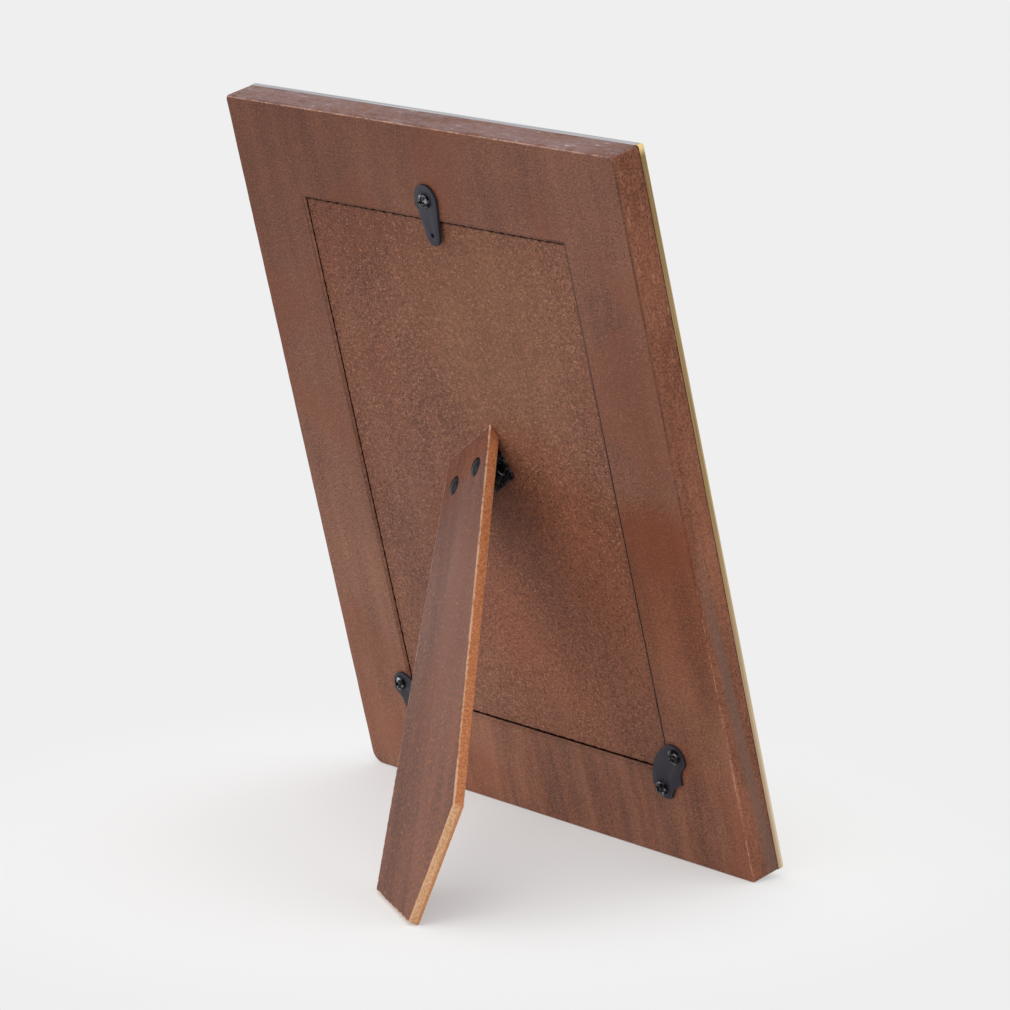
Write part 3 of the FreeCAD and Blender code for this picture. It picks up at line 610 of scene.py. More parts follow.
# %% [markdown]
# Edges get rubbed: along an arris the stain is thin, and paler board shows in broken patches.
# The skins carry an attribute that is one on the arris and falls to zero beside it, so one
# group can turn it into a patchy mask on any of them.
# %% Group: rubbed arris
def rub_group():
    """A mask that opens where nearness + reach + a patchy noise comes past one."""
    tree, graph, given, result = new_group(
        "rubbed arris", {"Vector": "Point", "Float": "Nearness Reach Patches"}, {"Float": "Mask"})
    long_patches = graph.noise(given["Point"], (0.12, 0.05, 0.12), detail=4.0, roughness=0.65)
    small_patches = graph.noise(given["Point"], (0.9, 0.7, 0.9))
    patches = graph.sum(graph.swing(long_patches, 2.2), graph.swing(small_patches, 1.4))
    level = graph.sum(given["Nearness"], given["Reach"],
                      graph.product(patches, given["Patches"]))
    graph.feed(result["Mask"], graph.ease(level, 1.0, 1.35))
    return tree


RUB = rub_group()
print("rub group has", len(RUB.nodes), "nodes")

# %% [markdown]
# Over the whole back the colour varies too. It is darker toward the top, most at the corner
# away from the leg's foot: painted shade for light that falls from low down, in part a deeper
# stain. On the side that the leg leans to, under the hinge and up to a soft slanted line, it
# is redder and darker: a painted shadow of the leg. Changes as large as these have their
# place, so sums of height and width on the board make them, and noise only lets their limits
# wander.
# %% Group: painted shade and stain over the back
def variation_group():
    """Painted shade by height and near a corner; a painted shadow below a level and past a slant.
    """
    tree, graph, given, result = new_group(
        "painted shade and stain over the back", {"Vector": "Point", "Color": "Color Below"}, {"Color": "Color"})
    x, y, _ = graph.parts(given["Point"])
    # Painted shade: darker toward the top and the far corner, in part a deeper stain.
    upward = graph.ease(y, -20.0, 235.0, 0.0, 0.5)
    corner = graph.math("SUBTRACT", graph.product(y, 1.3), x)
    share = graph.sum(upward, graph.ease(corner, 200.0, 400.0, 0.0, 0.3))
    color = graph.tint(share, given["Color"], (0.5, 0.34, 0.25))
    # Painted shadow of the leg: redder and darker under a wandering level and past a slant.
    drift = graph.swing(graph.noise(given["Point"], (0.05, 0.03, 0.05), detail=3.0), 14.0)
    below = graph.ease(graph.sum(y, drift), 134.0, 118.0)
    diagonal = graph.sum(x, graph.product(y, 0.78), drift)
    beyond = graph.ease(diagonal, 90.0, 112.0)
    redder = graph.product(below, beyond, graph.ease(y, 40.0, 95.0, 0.35, 1.0))
    graph.feed(result["Color"], graph.tint(redder, color, given["Below"]))
    return tree


VARIATION = variation_group()
print("variation group has", len(VARIATION.nodes), "nodes")


# %% [markdown]
# Grain gives a stained board a little relief, and its sheen changes with the clouds in the
# stain. Most finishes here end with these two steps, so each is a helper.
# %% Relief and sheen
def bumped(graph, shader, height, depth_mm):
    """Feeds a height, 0 to 1, to the shader's normal as a bump of that depth in mm."""
    bump = graph.node("ShaderNodeBump")
    graph.feed(bump.inputs["Height"], height)
    graph.feed(bump.inputs["Distance"], depth_mm * MM)
    graph.feed(shader["Normal"], bump.outputs[0])


def finish(graph, shader, color, clouds, low, high, sheen):
    """A colour, a roughness that goes from low to high with the clouds, and an even sheen."""
    graph.feed(shader["Base Color"], color)
    graph.feed(shader["Roughness"], graph.ease(clouds, 0.2, 0.8, low, high))
    graph.feed(shader["Specular IOR Level"], sheen)


# %% [markdown]
# The frame is one board with a rebate cut in its back. Its profile is closed: up the outer
# side, round the worn back arris, across the back face, down the rebate and over the lip that
# holds the glass. The profile is carried round a rectangle whose corners are rounded. Four
# mitred rails could be joined instead, but the real back shows no joint at its corners.
# %% Frame board
board_low, board_high = local_box("frame_body", BOARD)
glass_low, glass_high = local_box("glass_pane", BOARD)
PANEL_TOP = local_box("back_panel", BOARD)[1][2]
BOARD_DEEP = -board_low[2]
REBATE_DEEP = -glass_low[2]
REBATE_GAP = 0.5
RAIL = board_high[0] - glass_high[0] - REBATE_GAP
LIP = 5.0
ARRIS = 1.0
SMALL_ARRIS = 0.35
UPPER_SIDE = board_high[1]
RIGHT_SIDE = board_high[0]
CORNER = 1.6
WORN_CORNER = 4.5
SHARP_CORNER = 1.0
TIGHT_CORNER = 0.3
BOARD_EDGES = np.array([board_high[0], board_high[1], -board_low[0], -board_low[1]])
BOARD_CORNERS = np.array([CORNER, CORNER, WORN_CORNER, CORNER])
FACE_CORNERS = np.array([SHARP_CORNER, SHARP_CORNER, WORN_CORNER, SHARP_CORNER])
print("rail", RAIL.round(2), "rebate", REBATE_DEEP.round(2), "board", BOARD_DEEP.round(2))


def quarter_circle(radius, steps):
    """Run r (1 - cos a) and rise r sin a while the angle a goes from 0 to a right angle."""
    turn = np.linspace(0, np.pi / 2, steps + 1)
    return radius * (1 - np.cos(turn)), radius * np.sin(turn)


def carried(profile, edges, corner_radii, pitch, arc_steps=6):
    """Rings of a profile carried round a rectangle, with the outward directions.

    The profile's rows are inset, depth. A corner's radius shrinks by the inset, down to a
    tight one, so that the opening's corners are nearly sharp.
    """
    inset, depth = profile[:, 0], profile[:, 1]
    offsets = edges[None] - inset[:, None]
    radii = np.maximum(corner_radii[None] - np.maximum(inset, 0)[:, None], TIGHT_CORNER)
    loops, outward = rounded_loops(RECTANGLE, offsets, radii, arc_steps,
                                   steps_for(RECTANGLE, edges, pitch))
    heights = np.broadcast_to(depth[:, None, None], (*loops.shape[:2], 1))
    return np.concatenate([loops, heights], 2), outward


def board_profile():
    """The closed profile: rows of inset, depth, nearness to the two arrises, and to the rebate."""
    heights = np.linspace(-BOARD_DEEP + SMALL_ARRIS, -ARRIS - 0.3, 6)
    side = [(0.0, z, 0.0, 0.0, 0.0) for z in heights]
    run, rise = quarter_circle(ARRIS, 8)
    nearness = (0.0, 0.0, 0.0, 0.25, 0.8, 1.0, 0.8, 0.25, 0.0)
    arris = [(w, z, near, 0.0, 0.0) for w, z, near in zip(run, rise - ARRIS, nearness)]
    back = [(w, 0.0, 0.0, 0.0, 0.0) for w in (1.5, 2.0, 3.0)]
    inner = RAIL - SMALL_ARRIS
    back += [(w, 0.0, 0.0, near, 0.0)
             for w, near in ((RAIL / 2, 0.0), (inner - 0.8, 0.0), (inner - 0.3, 1.0))]
    drop, run = quarter_circle(SMALL_ARRIS, 4)
    edge = [(inner + w, -z, 0.0, 1.0, z / SMALL_ARRIS) for w, z in zip(run, drop)]
    wall = [(RAIL, -z, 0.0, 0.0, 1.0) for z in (0.9, 2.5, REBATE_DEEP)]
    lip = [(RAIL + LIP, -z, 0.0, 0.0, 1.0) for z in (REBATE_DEEP, BOARD_DEEP)]
    front = [(SMALL_ARRIS + w, -BOARD_DEEP, 0.0, 0.0, 0.0) for w in (RAIL / 2, 0.0)]
    return np.array(side + arris + back + edge + wall + lip + front)


def roughen(rings, outward, nearness, depth_mm, wavelength, seed):
    """Draws the points near an arris in by an uneven amount, so that it looks hand sanded."""
    positions = path_positions(rings[0, :, :2])
    dips = np.maximum(0, 0.5 + uneven(positions, wavelength, seed))
    moved = rings.copy()
    push = depth_mm * nearness[:, None] * dips[None]
    moved[:, :, :2] -= push[:, :, None] * outward[None]
    return moved


def marks(profile, rings, labels):
    """Attributes for a skin: each column of the profile after the second, over every ring."""
    return {label: np.repeat(profile[:, 2 + i], rings.shape[1]) for i, label in enumerate(labels)}


def make_board():
    """The board: its profile carried round it, then roughened at its outer and inner arris."""
    profile = board_profile()
    rings, outward = carried(profile, BOARD_EDGES, BOARD_CORNERS, pitch=1.5)
    rings = roughen(rings, outward, profile[:, 2], depth_mm=0.05, wavelength=12.0, seed=11)
    rings = roughen(rings, -outward, profile[:, 3], depth_mm=0.12, wavelength=3.0, seed=12)
    near = marks(profile, rings, ("outer_arris", "inner_arris", "rebate"))
    return skin("stained_board", rings, BOARD, True, near)


# %% [markdown]
# The board's back, sides and upper side look different, though one stain went over all of
# them. Each gets a function of its own, which takes the colour so far and gives back the next.
# The place on the board says which part of it is shaded, so no face needs to be picked out.
# %% Stain of the board's back
def back_color(graph, point, y, stain):
    """Stain, painted shade and shadow, bottom rail streaks and a patch of painted light."""
    x = graph.parts(point)[0]
    # The group adds painted shade toward the top and the leg's painted shadow.
    color = graph.group(VARIATION, Point=point, Color=stain["Color"],
                        Below=(0.9, 0.68, 0.53, 1.0))["Color"]
    # The bottom rail took the stain in soft upright orange streaks.
    upright = graph.noise(point, (0.17, 0.02, 0.17), roughness=0.6, distortion=0.4)
    orange = graph.product(graph.ease(upright, 0.3, 0.65), graph.ease(x, -75.0, -45.0, 0.25, 1.0),
                           graph.ease(y, RAIL + 14.0, RAIL - 6.0))
    color = graph.tint(orange, color, (1.14, 1.03, 0.96))
    # Low on the rail beside the tight gap, a paler patch is painted light that lifts its shade.
    cloud = graph.near(point, (84.0, 52.0, 0.0), (0.03, 0.018, 0.0))
    return graph.tint(cloud, color, (1.15, 1.13, 1.1))


# %% Stain of its sides
def side_color(graph, point, y, z, tone):
    """A redder stain in streaks along the board, with a smoky stripe and scraped hairs."""
    streaks = graph.noise(point, (0.12, 0.022, 0.13), distortion=0.8)
    tone = graph.sum(tone, graph.swing(streaks, 0.7), clamp=True)
    color = graph.blend(tone, paint(80, 40, 26), paint(142, 90, 66))
    # Low down, the stripe runs slanting over the side, from its middle toward the face.
    off_line = graph.sum(z, graph.product(y, -0.06), 8.6, graph.swing(streaks, 6.0))
    beside = graph.math("ABSOLUTE", off_line)
    smoky = graph.product(graph.ease(y, 125.0, 70.0), graph.ease(beside, 3.6, 0.8, 0.0, 0.6))
    color = graph.blend(smoky, color, paint(102, 82, 74))
    hairs = graph.noise(point, (1.4, 0.16, 1.4), detail=3.0, roughness=0.7)
    scraped = graph.product(graph.ease(hairs, 0.56, 0.7),
                            graph.ease(y, 60.0, UPPER_SIDE, 0.12, 0.5))
    return graph.blend(scraped, color, paint(176, 128, 106))


# %% Painted sheen on its upper side
def upper_sheen_color(graph, point, y, color):
    """Painted sheen and painted glints on the upper side, in short scratches and scuff patches."""
    upper = graph.ease(y, UPPER_SIDE - 0.9, UPPER_SIDE - 0.2)
    scratches = graph.noise(point, (0.28, 0.9, 0.75), detail=3.0, roughness=0.7, distortion=0.5)
    scuffs = graph.noise(point, (0.05, 0.2, 0.2), detail=3.0)
    scratch_pattern = graph.sum(graph.swing(scratches, 2.6), graph.swing(scuffs, 1.6))
    # Painted sheen in a lilac grey, and where the pattern is high, painted glints.
    painted_sheen = graph.product(upper, graph.ease(scratch_pattern, -0.5, 0.35, 0.1, 0.9))
    color = graph.blend(painted_sheen, color, paint(134, 106, 104))
    painted_glints = graph.product(upper, graph.ease(scratch_pattern, 0.35, 0.8, 0.0, 0.7))
    return graph.blend(painted_glints, color, paint(196, 174, 170))


# %% Wear and painted shade along its outer arris
def arris_wear_and_shade_color(graph, point, y, z, color):
    """Painted shade in the joint with the face, and an arris rubbed pale or darker by painted
    shade.
    """
    # Painted shade in the joint with the brass face.
    joint_shade = graph.ease(z, -BOARD_DEEP + 0.45, -BOARD_DEEP + 0.15, 0.0, 0.6)
    color = graph.blend(joint_shade, color, paint(62, 32, 22))
    line = graph.attribute("outer_arris")
    top_line = graph.ease(y, UPPER_SIDE - 2.4, UPPER_SIDE - 1.2)
    worn = graph.sum(graph.ease(y, 150.0, 40.0, -0.3, 0.25), graph.product(top_line, 0.6))
    rub = graph.group(RUB, Point=point, Nearness=line, Reach=worn, Patches=0.5)["Mask"]
    broken = graph.ease(graph.noise(point, (0.07, 0.06, 0.07), detail=3.0), 0.36, 0.6, 0.3, 0.85)
    # Painted shade along the arris, broken, weaker low down and none at the top.
    shade = graph.product(line, graph.ease(y, 60.0, 150.0, 0.15, 0.7), broken,
                          graph.math("SUBTRACT", 1.0, top_line))
    color = graph.blend(shade, color, paint(56, 32, 30))
    return graph.blend(graph.product(rub, 0.75), color, paint(194, 150, 128))


# %% Its opening
def opening_color(graph, point, y, z, tone, color):
    """An inner arris darkened as painted shade of the gap, most where the panel lies tight against
    it, and walls stained down to the panel, lightened as painted light, and near black beside it
    as painted shade in the gap."""
    x = graph.parts(point)[0]
    # Painted shade of the gap on the inner arris: a little all round, most on the right side.
    tight = graph.product(graph.ease(x, 55.0, 60.0), graph.ease(y, 200.0, 110.0, 0.35, 0.8))
    inner = graph.product(graph.attribute("inner_arris"), graph.sum(tight, 0.2))
    color = graph.blend(inner, color, paint(26, 12, 9))
    # Near black on the walls just beside the panel: painted shade in the gap.
    wall_gap_shade = graph.ease(z, PANEL_TOP + 0.1, PANEL_TOP - 0.2)
    # The walls' stain is made lighter as painted light against their own shade.
    lit_wall_stain = graph.blend(tone, paint(116, 76, 60), paint(178, 130, 108))
    wall = graph.blend(wall_gap_shade, lit_wall_stain, paint(22, 10, 7))
    return graph.blend(graph.ease(graph.attribute("rebate"), 0.3, 0.9), color, wall)


# %% The board's finish
def board_material():
    material, graph, shader = new_material("stained board")
    point = graph.millimetres(BOARD)
    _, y, z = graph.parts(point)
    stain = graph.group(STAIN, Point=point, Deep=paint(94, 58, 45), Warm=paint(156, 110, 88),
                        Red=paint(138, 83, 60), Fleck=paint(186, 140, 118),
                        Bands=graph.ease(y, 70.0, 15.0, 0.34, 0.75),
                        Clouds=0.45, Redness=0.45, Fibres=0.95, Flecks=0.35)
    color = graph.blend(graph.ease(z, -0.5, -1.0), back_color(graph, point, y, stain),
                        side_color(graph, point, y, z, stain["Tone"]))
    color = upper_sheen_color(graph, point, y, color)
    color = arris_wear_and_shade_color(graph, point, y, z, color)
    color = opening_color(graph, point, y, z, stain["Tone"], color)
    finish(graph, shader, color, stain["Grain"], 0.44, 0.56, sheen=0.16)
    bumped(graph, shader, stain["Grain"], 0.04)
    return material


stand_for(make_board(), "frame_body", board_material())

# %% [markdown]
# The brass face is a thin plate with a rounded front arris and a small bevel round the
# picture. Its brush marks run along each rail and turn at the corners, so they are read from a
# map of the surface: along the rail one way, over the profile the other.
# %% Brass face
FACE_THICK = -local_box("front_fascia", BOARD)[0][2] - BOARD_DEEP
FACE_ARRIS = 0.8
FACE_REVEAL = 0.6
FACE_BEVEL = 0.5


def face_profile():
    """The closed profile: rows of inset, depth."""
    back, front = -BOARD_DEEP, -BOARD_DEEP - FACE_THICK
    window = RAIL + LIP + FACE_REVEAL
    run, drop = quarter_circle(FACE_ARRIS, 6)
    rows = [(0.15, back), (0.0, back - 0.12), (0.0, (back + front) / 2)]
    rows += [(w, front + FACE_ARRIS - z) for w, z in zip(run, drop)]
    rows += [(w, front) for w in (window / 3, 2 * window / 3)]
    rows += [(window - FACE_BEVEL, front), (window, front + FACE_BEVEL), (window, back)]
    rows += [(window / 2, back)]
    return np.array(rows)


def make_face():
    """The face: its profile carried round the same outline, with a map over it and along it."""
    profile = face_profile()
    rings, outward = carried(profile, BOARD_EDGES, FACE_CORNERS, pitch=6.0)
    over = np.concatenate([[0], np.cumsum(np.linalg.norm(np.diff(profile, axis=0), axis=1))])
    path = path_positions(rings[0, :, :2])
    maps = {"brush_over": np.repeat(over, len(path)), "brush_along": np.tile(path, len(over))}
    return skin("brass_face", rings, BOARD, True, maps)


def brass_material():
    """Fine lines along the rail: noise that is short over the profile and long along it."""
    material, graph, shader = new_material("brushed brass")
    join = graph.node("ShaderNodeCombineXYZ")
    graph.feed(join.inputs[0], graph.attribute("brush_over"))
    graph.feed(join.inputs[1], graph.attribute("brush_along"))
    brush = graph.noise(join.outputs[0], (7.0, 0.05, 1.0), detail=3.0, roughness=0.65)
    bands = graph.noise(join.outputs[0], (1.4, 0.01, 1.0))
    point = graph.millimetres(BOARD)
    tarnish = graph.ease(graph.noise(point, 0.03, detail=4.0), 0.4, 0.7)
    tone = graph.sum(graph.swing(brush, 1.3), graph.swing(bands, 1.2), 0.5, clamp=True)
    color = graph.blend(tone, paint(176, 140, 92), paint(222, 198, 152))
    color = graph.blend(graph.product(tarnish, 0.25), color, paint(176, 140, 98))
    x, y, z = graph.parts(point)
    # Painted reflections: the plating is paler low on the sides, browner high up and silvery
    # along the top.
    color = graph.blend(graph.ease(y, 130.0, 20.0, 0.0, 0.7), color, paint(244, 222, 196))
    color = graph.blend(graph.ease(y, 150.0, 235.0, 0.1, 0.62), color, paint(150, 122, 82))
    # A painted reflection: the side is darker in a band beside the board.
    painted_dark_band = graph.ease(z, -BOARD_DEEP - 1.4, -BOARD_DEEP - 0.7, 0.0, 0.4)
    color = graph.blend(painted_dark_band, color, paint(138, 110, 70))
    lines = graph.noise(point, (0.01, 0.012, 2.3), detail=3.0, roughness=0.7)
    grooves = graph.product(graph.ease(lines, 0.42, 0.62), graph.ease(y, 40.0, 150.0, 0.2, 0.55))
    color = graph.blend(grooves, color, paint(120, 94, 58))
    top_reflection = graph.product(graph.ease(y, UPPER_SIDE - 0.9, UPPER_SIDE - 0.3),
                            graph.ease(x, RIGHT_SIDE - 0.9, RIGHT_SIDE - 2.3))
    top_reflection_tone = graph.blend(graph.ease(lines, 0.4, 0.6), paint(216, 215, 218), paint(168, 166, 172))
    color = graph.blend(top_reflection, color, top_reflection_tone)
    # A painted glint at the upper corner.
    corner_glint = graph.product(graph.ease(y, UPPER_SIDE - 4.0, UPPER_SIDE - 0.6),
                        graph.ease(x, RIGHT_SIDE - 1.9, RIGHT_SIDE - 0.5))
    color = graph.blend(corner_glint, color, paint(250, 222, 156))
    graph.feed(shader["Base Color"], color)
    graph.feed(shader["Metallic"], 1.0)
    graph.feed(shader["Roughness"], graph.ease(brush, 0.3, 0.7, 0.3, 0.42))
    bumped(graph, shader, brush, 0.012)
    return material


stand_for(make_face(), "front_fascia", brass_material())

# %% [markdown]
# The panel, the glass and the card are slabs: one outline at several depths, capped on both
# sides. The panel is sawn from thinner board, and its cut edges are dark and a little ragged;
# that dark rim is also painted shade of the gap round the panel. A few rings lie inside its
# rim, so that the dark edge can fade into the face.
# %% Slabs
def slab(name, node, corner, arris, pitch, ragged=0.0, moved=(0.0, 0.0, 0.0, 0.0)):
    """A slab as large as its CAD node, with rounded corners and arrises and a rim to shade.

    Each edge, counted from the right one up and round, can be moved out by its own amount.
    """
    low, high = local_box(node, BOARD)
    edges = np.array([high[0], high[1], -low[0], -low[1]]) + moved
    run, rise = quarter_circle(arris, 3)
    front = [(w, low[2] + arris - z, 1.0) for w, z in zip(run[::-1], rise[::-1])]
    back = [(w, high[2] - arris + z, 1.0) for w, z in zip(run, rise)]
    inner = [(arris + 0.15, 0.7), (arris + 0.5, 0.0), (arris + 6.0, 0.0)]
    rows = [(w, low[2], near) for w, near in inner[::-1]] + front
    rows += back + [(w, high[2], near) for w, near in inner]
    profile = np.array(rows)
    rings, outward = carried(profile[:, :2], edges, np.full(4, corner), pitch)
    if ragged:
        rings = roughen(rings, outward, profile[:, 2], ragged, wavelength=2.2, seed=21)
    return skin(name, rings, BOARD, False, marks(profile, rings, ("rim",)))


# %% [markdown]
# The panel took the same stain, but it is sawn from another sheet, with a coarser face and more
# pale flecks toward the top. Its own patches lie behind the leg and above it. Behind the leg, a
# redder, lighter one is painted light that lifts the leg's cast shadow, and left of it one is
# darker. They are soft round masks that tint the colour, which is simpler to place than a
# noise would be. The glass and the card behind it are plain: they show through the window only.
# %% Stain of the panel
def panel_material():
    material, graph, shader = new_material("stained panel")
    point = graph.millimetres(BOARD)
    _, y, _ = graph.parts(point)
    # The grain and the pale flecks show most toward the top.
    stain = graph.group(STAIN, Point=point, Deep=paint(86, 50, 39), Warm=paint(156, 109, 87),
                        Red=paint(134, 80, 60), Fleck=paint(198, 150, 122), Bands=0.2,
                        Clouds=0.35, Redness=0.3, Fibres=graph.ease(y, 70.0, 190.0, 0.92, 1.2),
                        Flecks=graph.ease(y, 70.0, 190.0, 0.5, 0.7))
    # The stain is thinner in a golden cloud above the leg.
    golden = graph.near(point, (18.0, 178.0, 0.0), (0.018, 0.02, 0.0), full=0.2, most=0.25)
    color = graph.blend(golden, stain["Color"], paint(166, 122, 92))
    # Behind the leg, low on its right, a redder, lighter patch is painted light that lifts the
    # leg's cast shadow, and left of it the colour is darker.
    for centre, scale, tint in (
            ((20.0, 80.0, 0.0), (0.015, 0.015, 0.0), (1.31, 1.15, 1.04)),
            ((-38.0, 92.0, 0.0), (0.03, 0.02, 0.0), (0.88, 0.89, 0.92))):
        color = graph.tint(graph.near(point, centre, scale), color, tint)
    # The group adds painted shade toward the top and the leg's painted shadow here too.
    color = graph.group(VARIATION, Point=point, Color=color,
                        Below=(0.92, 0.84, 0.76, 1.0))["Color"]
    # A dark rim: the cut edge's own darkness and painted shade of the gap round the panel.
    nibbled = graph.swing(graph.noise(point, 1.2), 1.2)
    edge = graph.ease(graph.sum(graph.attribute("rim"), nibbled), 0.6, 1.1, 0.0, 0.85)
    color = graph.blend(edge, color, paint(30, 14, 9))
    finish(graph, shader, color, stain["Grain"], 0.5, 0.66, sheen=0.16)
    bumped(graph, shader, stain["Grain"], 0.09)
    return material


# %% Glass and card
def glass_material():
    """Clear glass, faintly smeared, so that it is a little rougher in clouds."""
    material, graph, shader = new_material("glazing")
    graph.feed(shader["Base Color"], (0.97, 0.985, 0.975, 1))
    smear = graph.noise(graph.millimetres(BOARD), 0.02, detail=4.0)
    graph.feed(shader["Roughness"], graph.ease(smear, 0.3, 0.8, 0.01, 0.05))
    graph.feed(shader["Transmission Weight"], 1.0)
    graph.feed(shader["IOR"], 1.5)
    return material


def card_material():
    """Plain heavy paper: a faint tooth and faint clouds, and no picture on it."""
    material, graph, shader = new_material("insert card")
    point = graph.millimetres(BOARD)
    tooth = graph.noise(point, 1.6, detail=4.0, roughness=0.6)
    clouds = graph.noise(point, 0.02, detail=3.0)
    share = graph.sum(0.5, graph.swing(tooth, 1.2), graph.swing(clouds, 1.0), clamp=True)
    color = graph.blend(share, paint(216, 211, 200), paint(238, 235, 228))
    graph.feed(shader["Base Color"], color)
    graph.feed(shader["Roughness"], 0.85)
    bumped(graph, shader, tooth, 0.04)
    return material


# %% Panel, glass and card
# The panel's edges come a little closer to the board than drawn, but for the right one.
PANEL_EDGES_OUT = (0.0, 0.15, 0.2, 0.1)
loose_panel = slab("loose_panel", "back_panel", corner=0.8, arris=0.3, pitch=1.0, ragged=0.2,
                   moved=PANEL_EDGES_OUT)
stand_for(loose_panel, "back_panel", panel_material())
glass = slab("glass", "glass_pane", corner=0.6, arris=0.2, pitch=12.0)
stand_for(glass, "glass_pane", glass_material())
plain_card = slab("plain_card", "picture_insert", corner=0.4, arris=0.1, pitch=12.0)
stand_for(plain_card, "picture_insert", card_material())

# %% [markdown]
# The leg is a tapered slab with two cuts at its foot. Its top end is sawn at the angle at which
# it lies flat on the panel, so there the outline moves down with depth. The stain covers its
# broad faces only: its sides are raw orange fibreboard with pale broken arrises, except near
# the top, where they were stained dark red. The directions of its sides are measured on the
# construction's piece, so that the taper and the foot stay true to it.
# %% Leg board
LEG_THICK = -leg_low[2]
LEG_OPEN = LEG_OUT.angle(OUT)
LEG_ARRIS = 0.4
LEG_INNER_ARRIS = 0.2
LEG_CORNERS = np.array([0.3, 0.3, 1.2, 1.2, 1.2])
LEAST_CORNER = 0.05
FOOT_FROM = 135.7


def straight_sides(node, space, count):
    """A board's largest flat side faces in its own directions: their angles and offsets.

    Faces that stand square to the board are summed by the way they look, in tenths of a
    degree, and the offset is how far out along its normal the largest such side lies.
    """
    mesh = nodes[node].data
    turn = np.array(space.inverted())[:3, :3]
    areas = {}
    for face in mesh.polygons:
        normal = turn @ np.array(face.normal)
        if abs(normal[2]) < 0.01:
            angle = round(math.degrees(math.atan2(normal[1], normal[0])) % 360, 1)
            areas[angle] = areas.get(angle, 0) + face.area
    angles = sorted(sorted(areas, key=areas.get)[-count:])
    points = local_corners(node, space)[:, :2]
    looks = np.stack([np.cos(np.radians(angles)), np.sin(np.radians(angles))], 1)
    return looks, (points @ looks.T).max(0)


def leg_profile():
    """Rows of inset, depth, nearness to the outer arris, to the inner one, on a side or not."""
    inner = [(w, -LEG_THICK, 0.0, near, 0.0) for w, near in ((6.0, 0.0), (1.4, 0.0), (0.6, 0.6))]
    rise, run = quarter_circle(LEG_INNER_ARRIS, 3)
    inner += [(LEG_INNER_ARRIS - w, z - LEG_THICK, 0.0, 1.0, 1.0) for w, z in zip(run, rise)]
    levels = np.linspace(-LEG_THICK + 0.35, -0.55, 8)
    side = [(0.0, z, max(0, 1 + (z + LEG_ARRIS) / 0.7), max(0, 1 - (z + LEG_THICK) / 0.6), 1.0)
            for z in levels]
    run, rise = quarter_circle(LEG_ARRIS, 5)
    outer = [(w, z - LEG_ARRIS, 1.0, 0.0, 1.0 - w / LEG_ARRIS) for w, z in zip(run, rise)]
    face = [(w, 0.0, near, 0.0, 0.0)
            for w, near in ((0.6, 0.8), (0.9, 0.35), (1.4, 0.0), (6.0, 0.0))]
    return np.array(inner + side + outer + face)


def make_leg():
    """The leg: its sides' outline at each depth, with a top edge that moves down with depth."""
    looks, sides = straight_sides("easel_leg", LEG, 4)
    normals = np.vstack([looks[:1], [(0.0, 1.0)], looks[1:]])
    profile = leg_profile()
    offsets = np.insert(sides, 1, 0.0)[None] - profile[:, :1]
    offsets[:, 1] += profile[:, 1] / math.tan(LEG_OPEN)
    radii = np.maximum(LEG_CORNERS[None] - profile[:, :1], LEAST_CORNER)
    loops, outward = rounded_loops(normals, offsets, radii, arc_steps=5,
                                   edge_steps=steps_for(normals, offsets[0], pitch=0.7))
    heights = np.broadcast_to(profile[:, 1, None, None], (*loops.shape[:2], 1))
    rings = np.concatenate([loops, heights], 2)
    rings = roughen(rings, outward, profile[:, 2], depth_mm=0.16, wavelength=1.6, seed=31)
    rings = roughen(rings, outward, profile[:, 3], depth_mm=0.10, wavelength=1.2, seed=32)
    ways = np.degrees(np.arctan2(normals[:, 1], normals[:, 0]))
    print("the leg's sides look toward", ways.round(1), "degrees")
    near = marks(profile, rings, ("outer_arris", "inner_arris", "cut_side"))
    return skin("leg_board", rings, LEG, False, near)


# %% [markdown]
# Where the saw went through, the board is not stained: it shows its orange brown fibres, with
# pale and dark specks. The arrises beside such a cut are chipped and paler still. The skin's
# own attribute tells cuts from faces, so the stain ends at the arris all round the leg.
# %% Stain and cuts of the leg
def leg_face_color(graph, point, x, y, stain):
    """Stain that is golden low down, darker high up, and dark red past a ragged line."""
    color = graph.tint(graph.ease(y, -60.0, -115.0), stain["Color"], (1.05, 0.89, 0.72))
    color = graph.tint(graph.ease(y, -55.0, -20.0), color, (0.84, 0.8, 0.8))
    ragged = graph.swing(graph.noise(point, 0.08, detail=4.0), 22.0)
    slanted = graph.sum(y, ragged, graph.product(x, -0.35))
    dark_red = graph.blend(stain["Tone"], paint(80, 34, 18), paint(140, 80, 50))
    return graph.blend(graph.ease(slanted, -20.0, -9.0, 0.0, 0.85), color, dark_red)


def raw_color(graph, point, y, z, fibres):
    """Orange fibreboard with pale fibres, a darker top end, and paler, yellower foot facets."""
    share = graph.ease(fibres, 0.3, 0.7)
    raw = graph.blend(share, paint(156, 90, 54), paint(200, 130, 86))
    pale_fibres = graph.ease(graph.noise(point, 2.4, detail=1.0), 0.6, 0.75, 0.0, 0.45)
    raw = graph.blend(pale_fibres, raw, paint(232, 186, 146))
    # The foot's facets are paler as painted light, and darker toward the inner face as painted
    # shade.
    foot_raw_lit = graph.blend(share, paint(180, 130, 92), paint(222, 178, 136))
    foot_raw_lit = graph.blend(graph.ease(z, -2.1, -2.7, 0.0, 0.7), foot_raw_lit, paint(178, 112, 70))
    raw = graph.blend(graph.ease(y, -FOOT_FROM + 1.0, -FOOT_FROM - 1.0), raw, foot_raw_lit)
    return graph.blend(graph.ease(y, -9.0, -2.0, 0.0, 0.7), raw, paint(136, 76, 46))


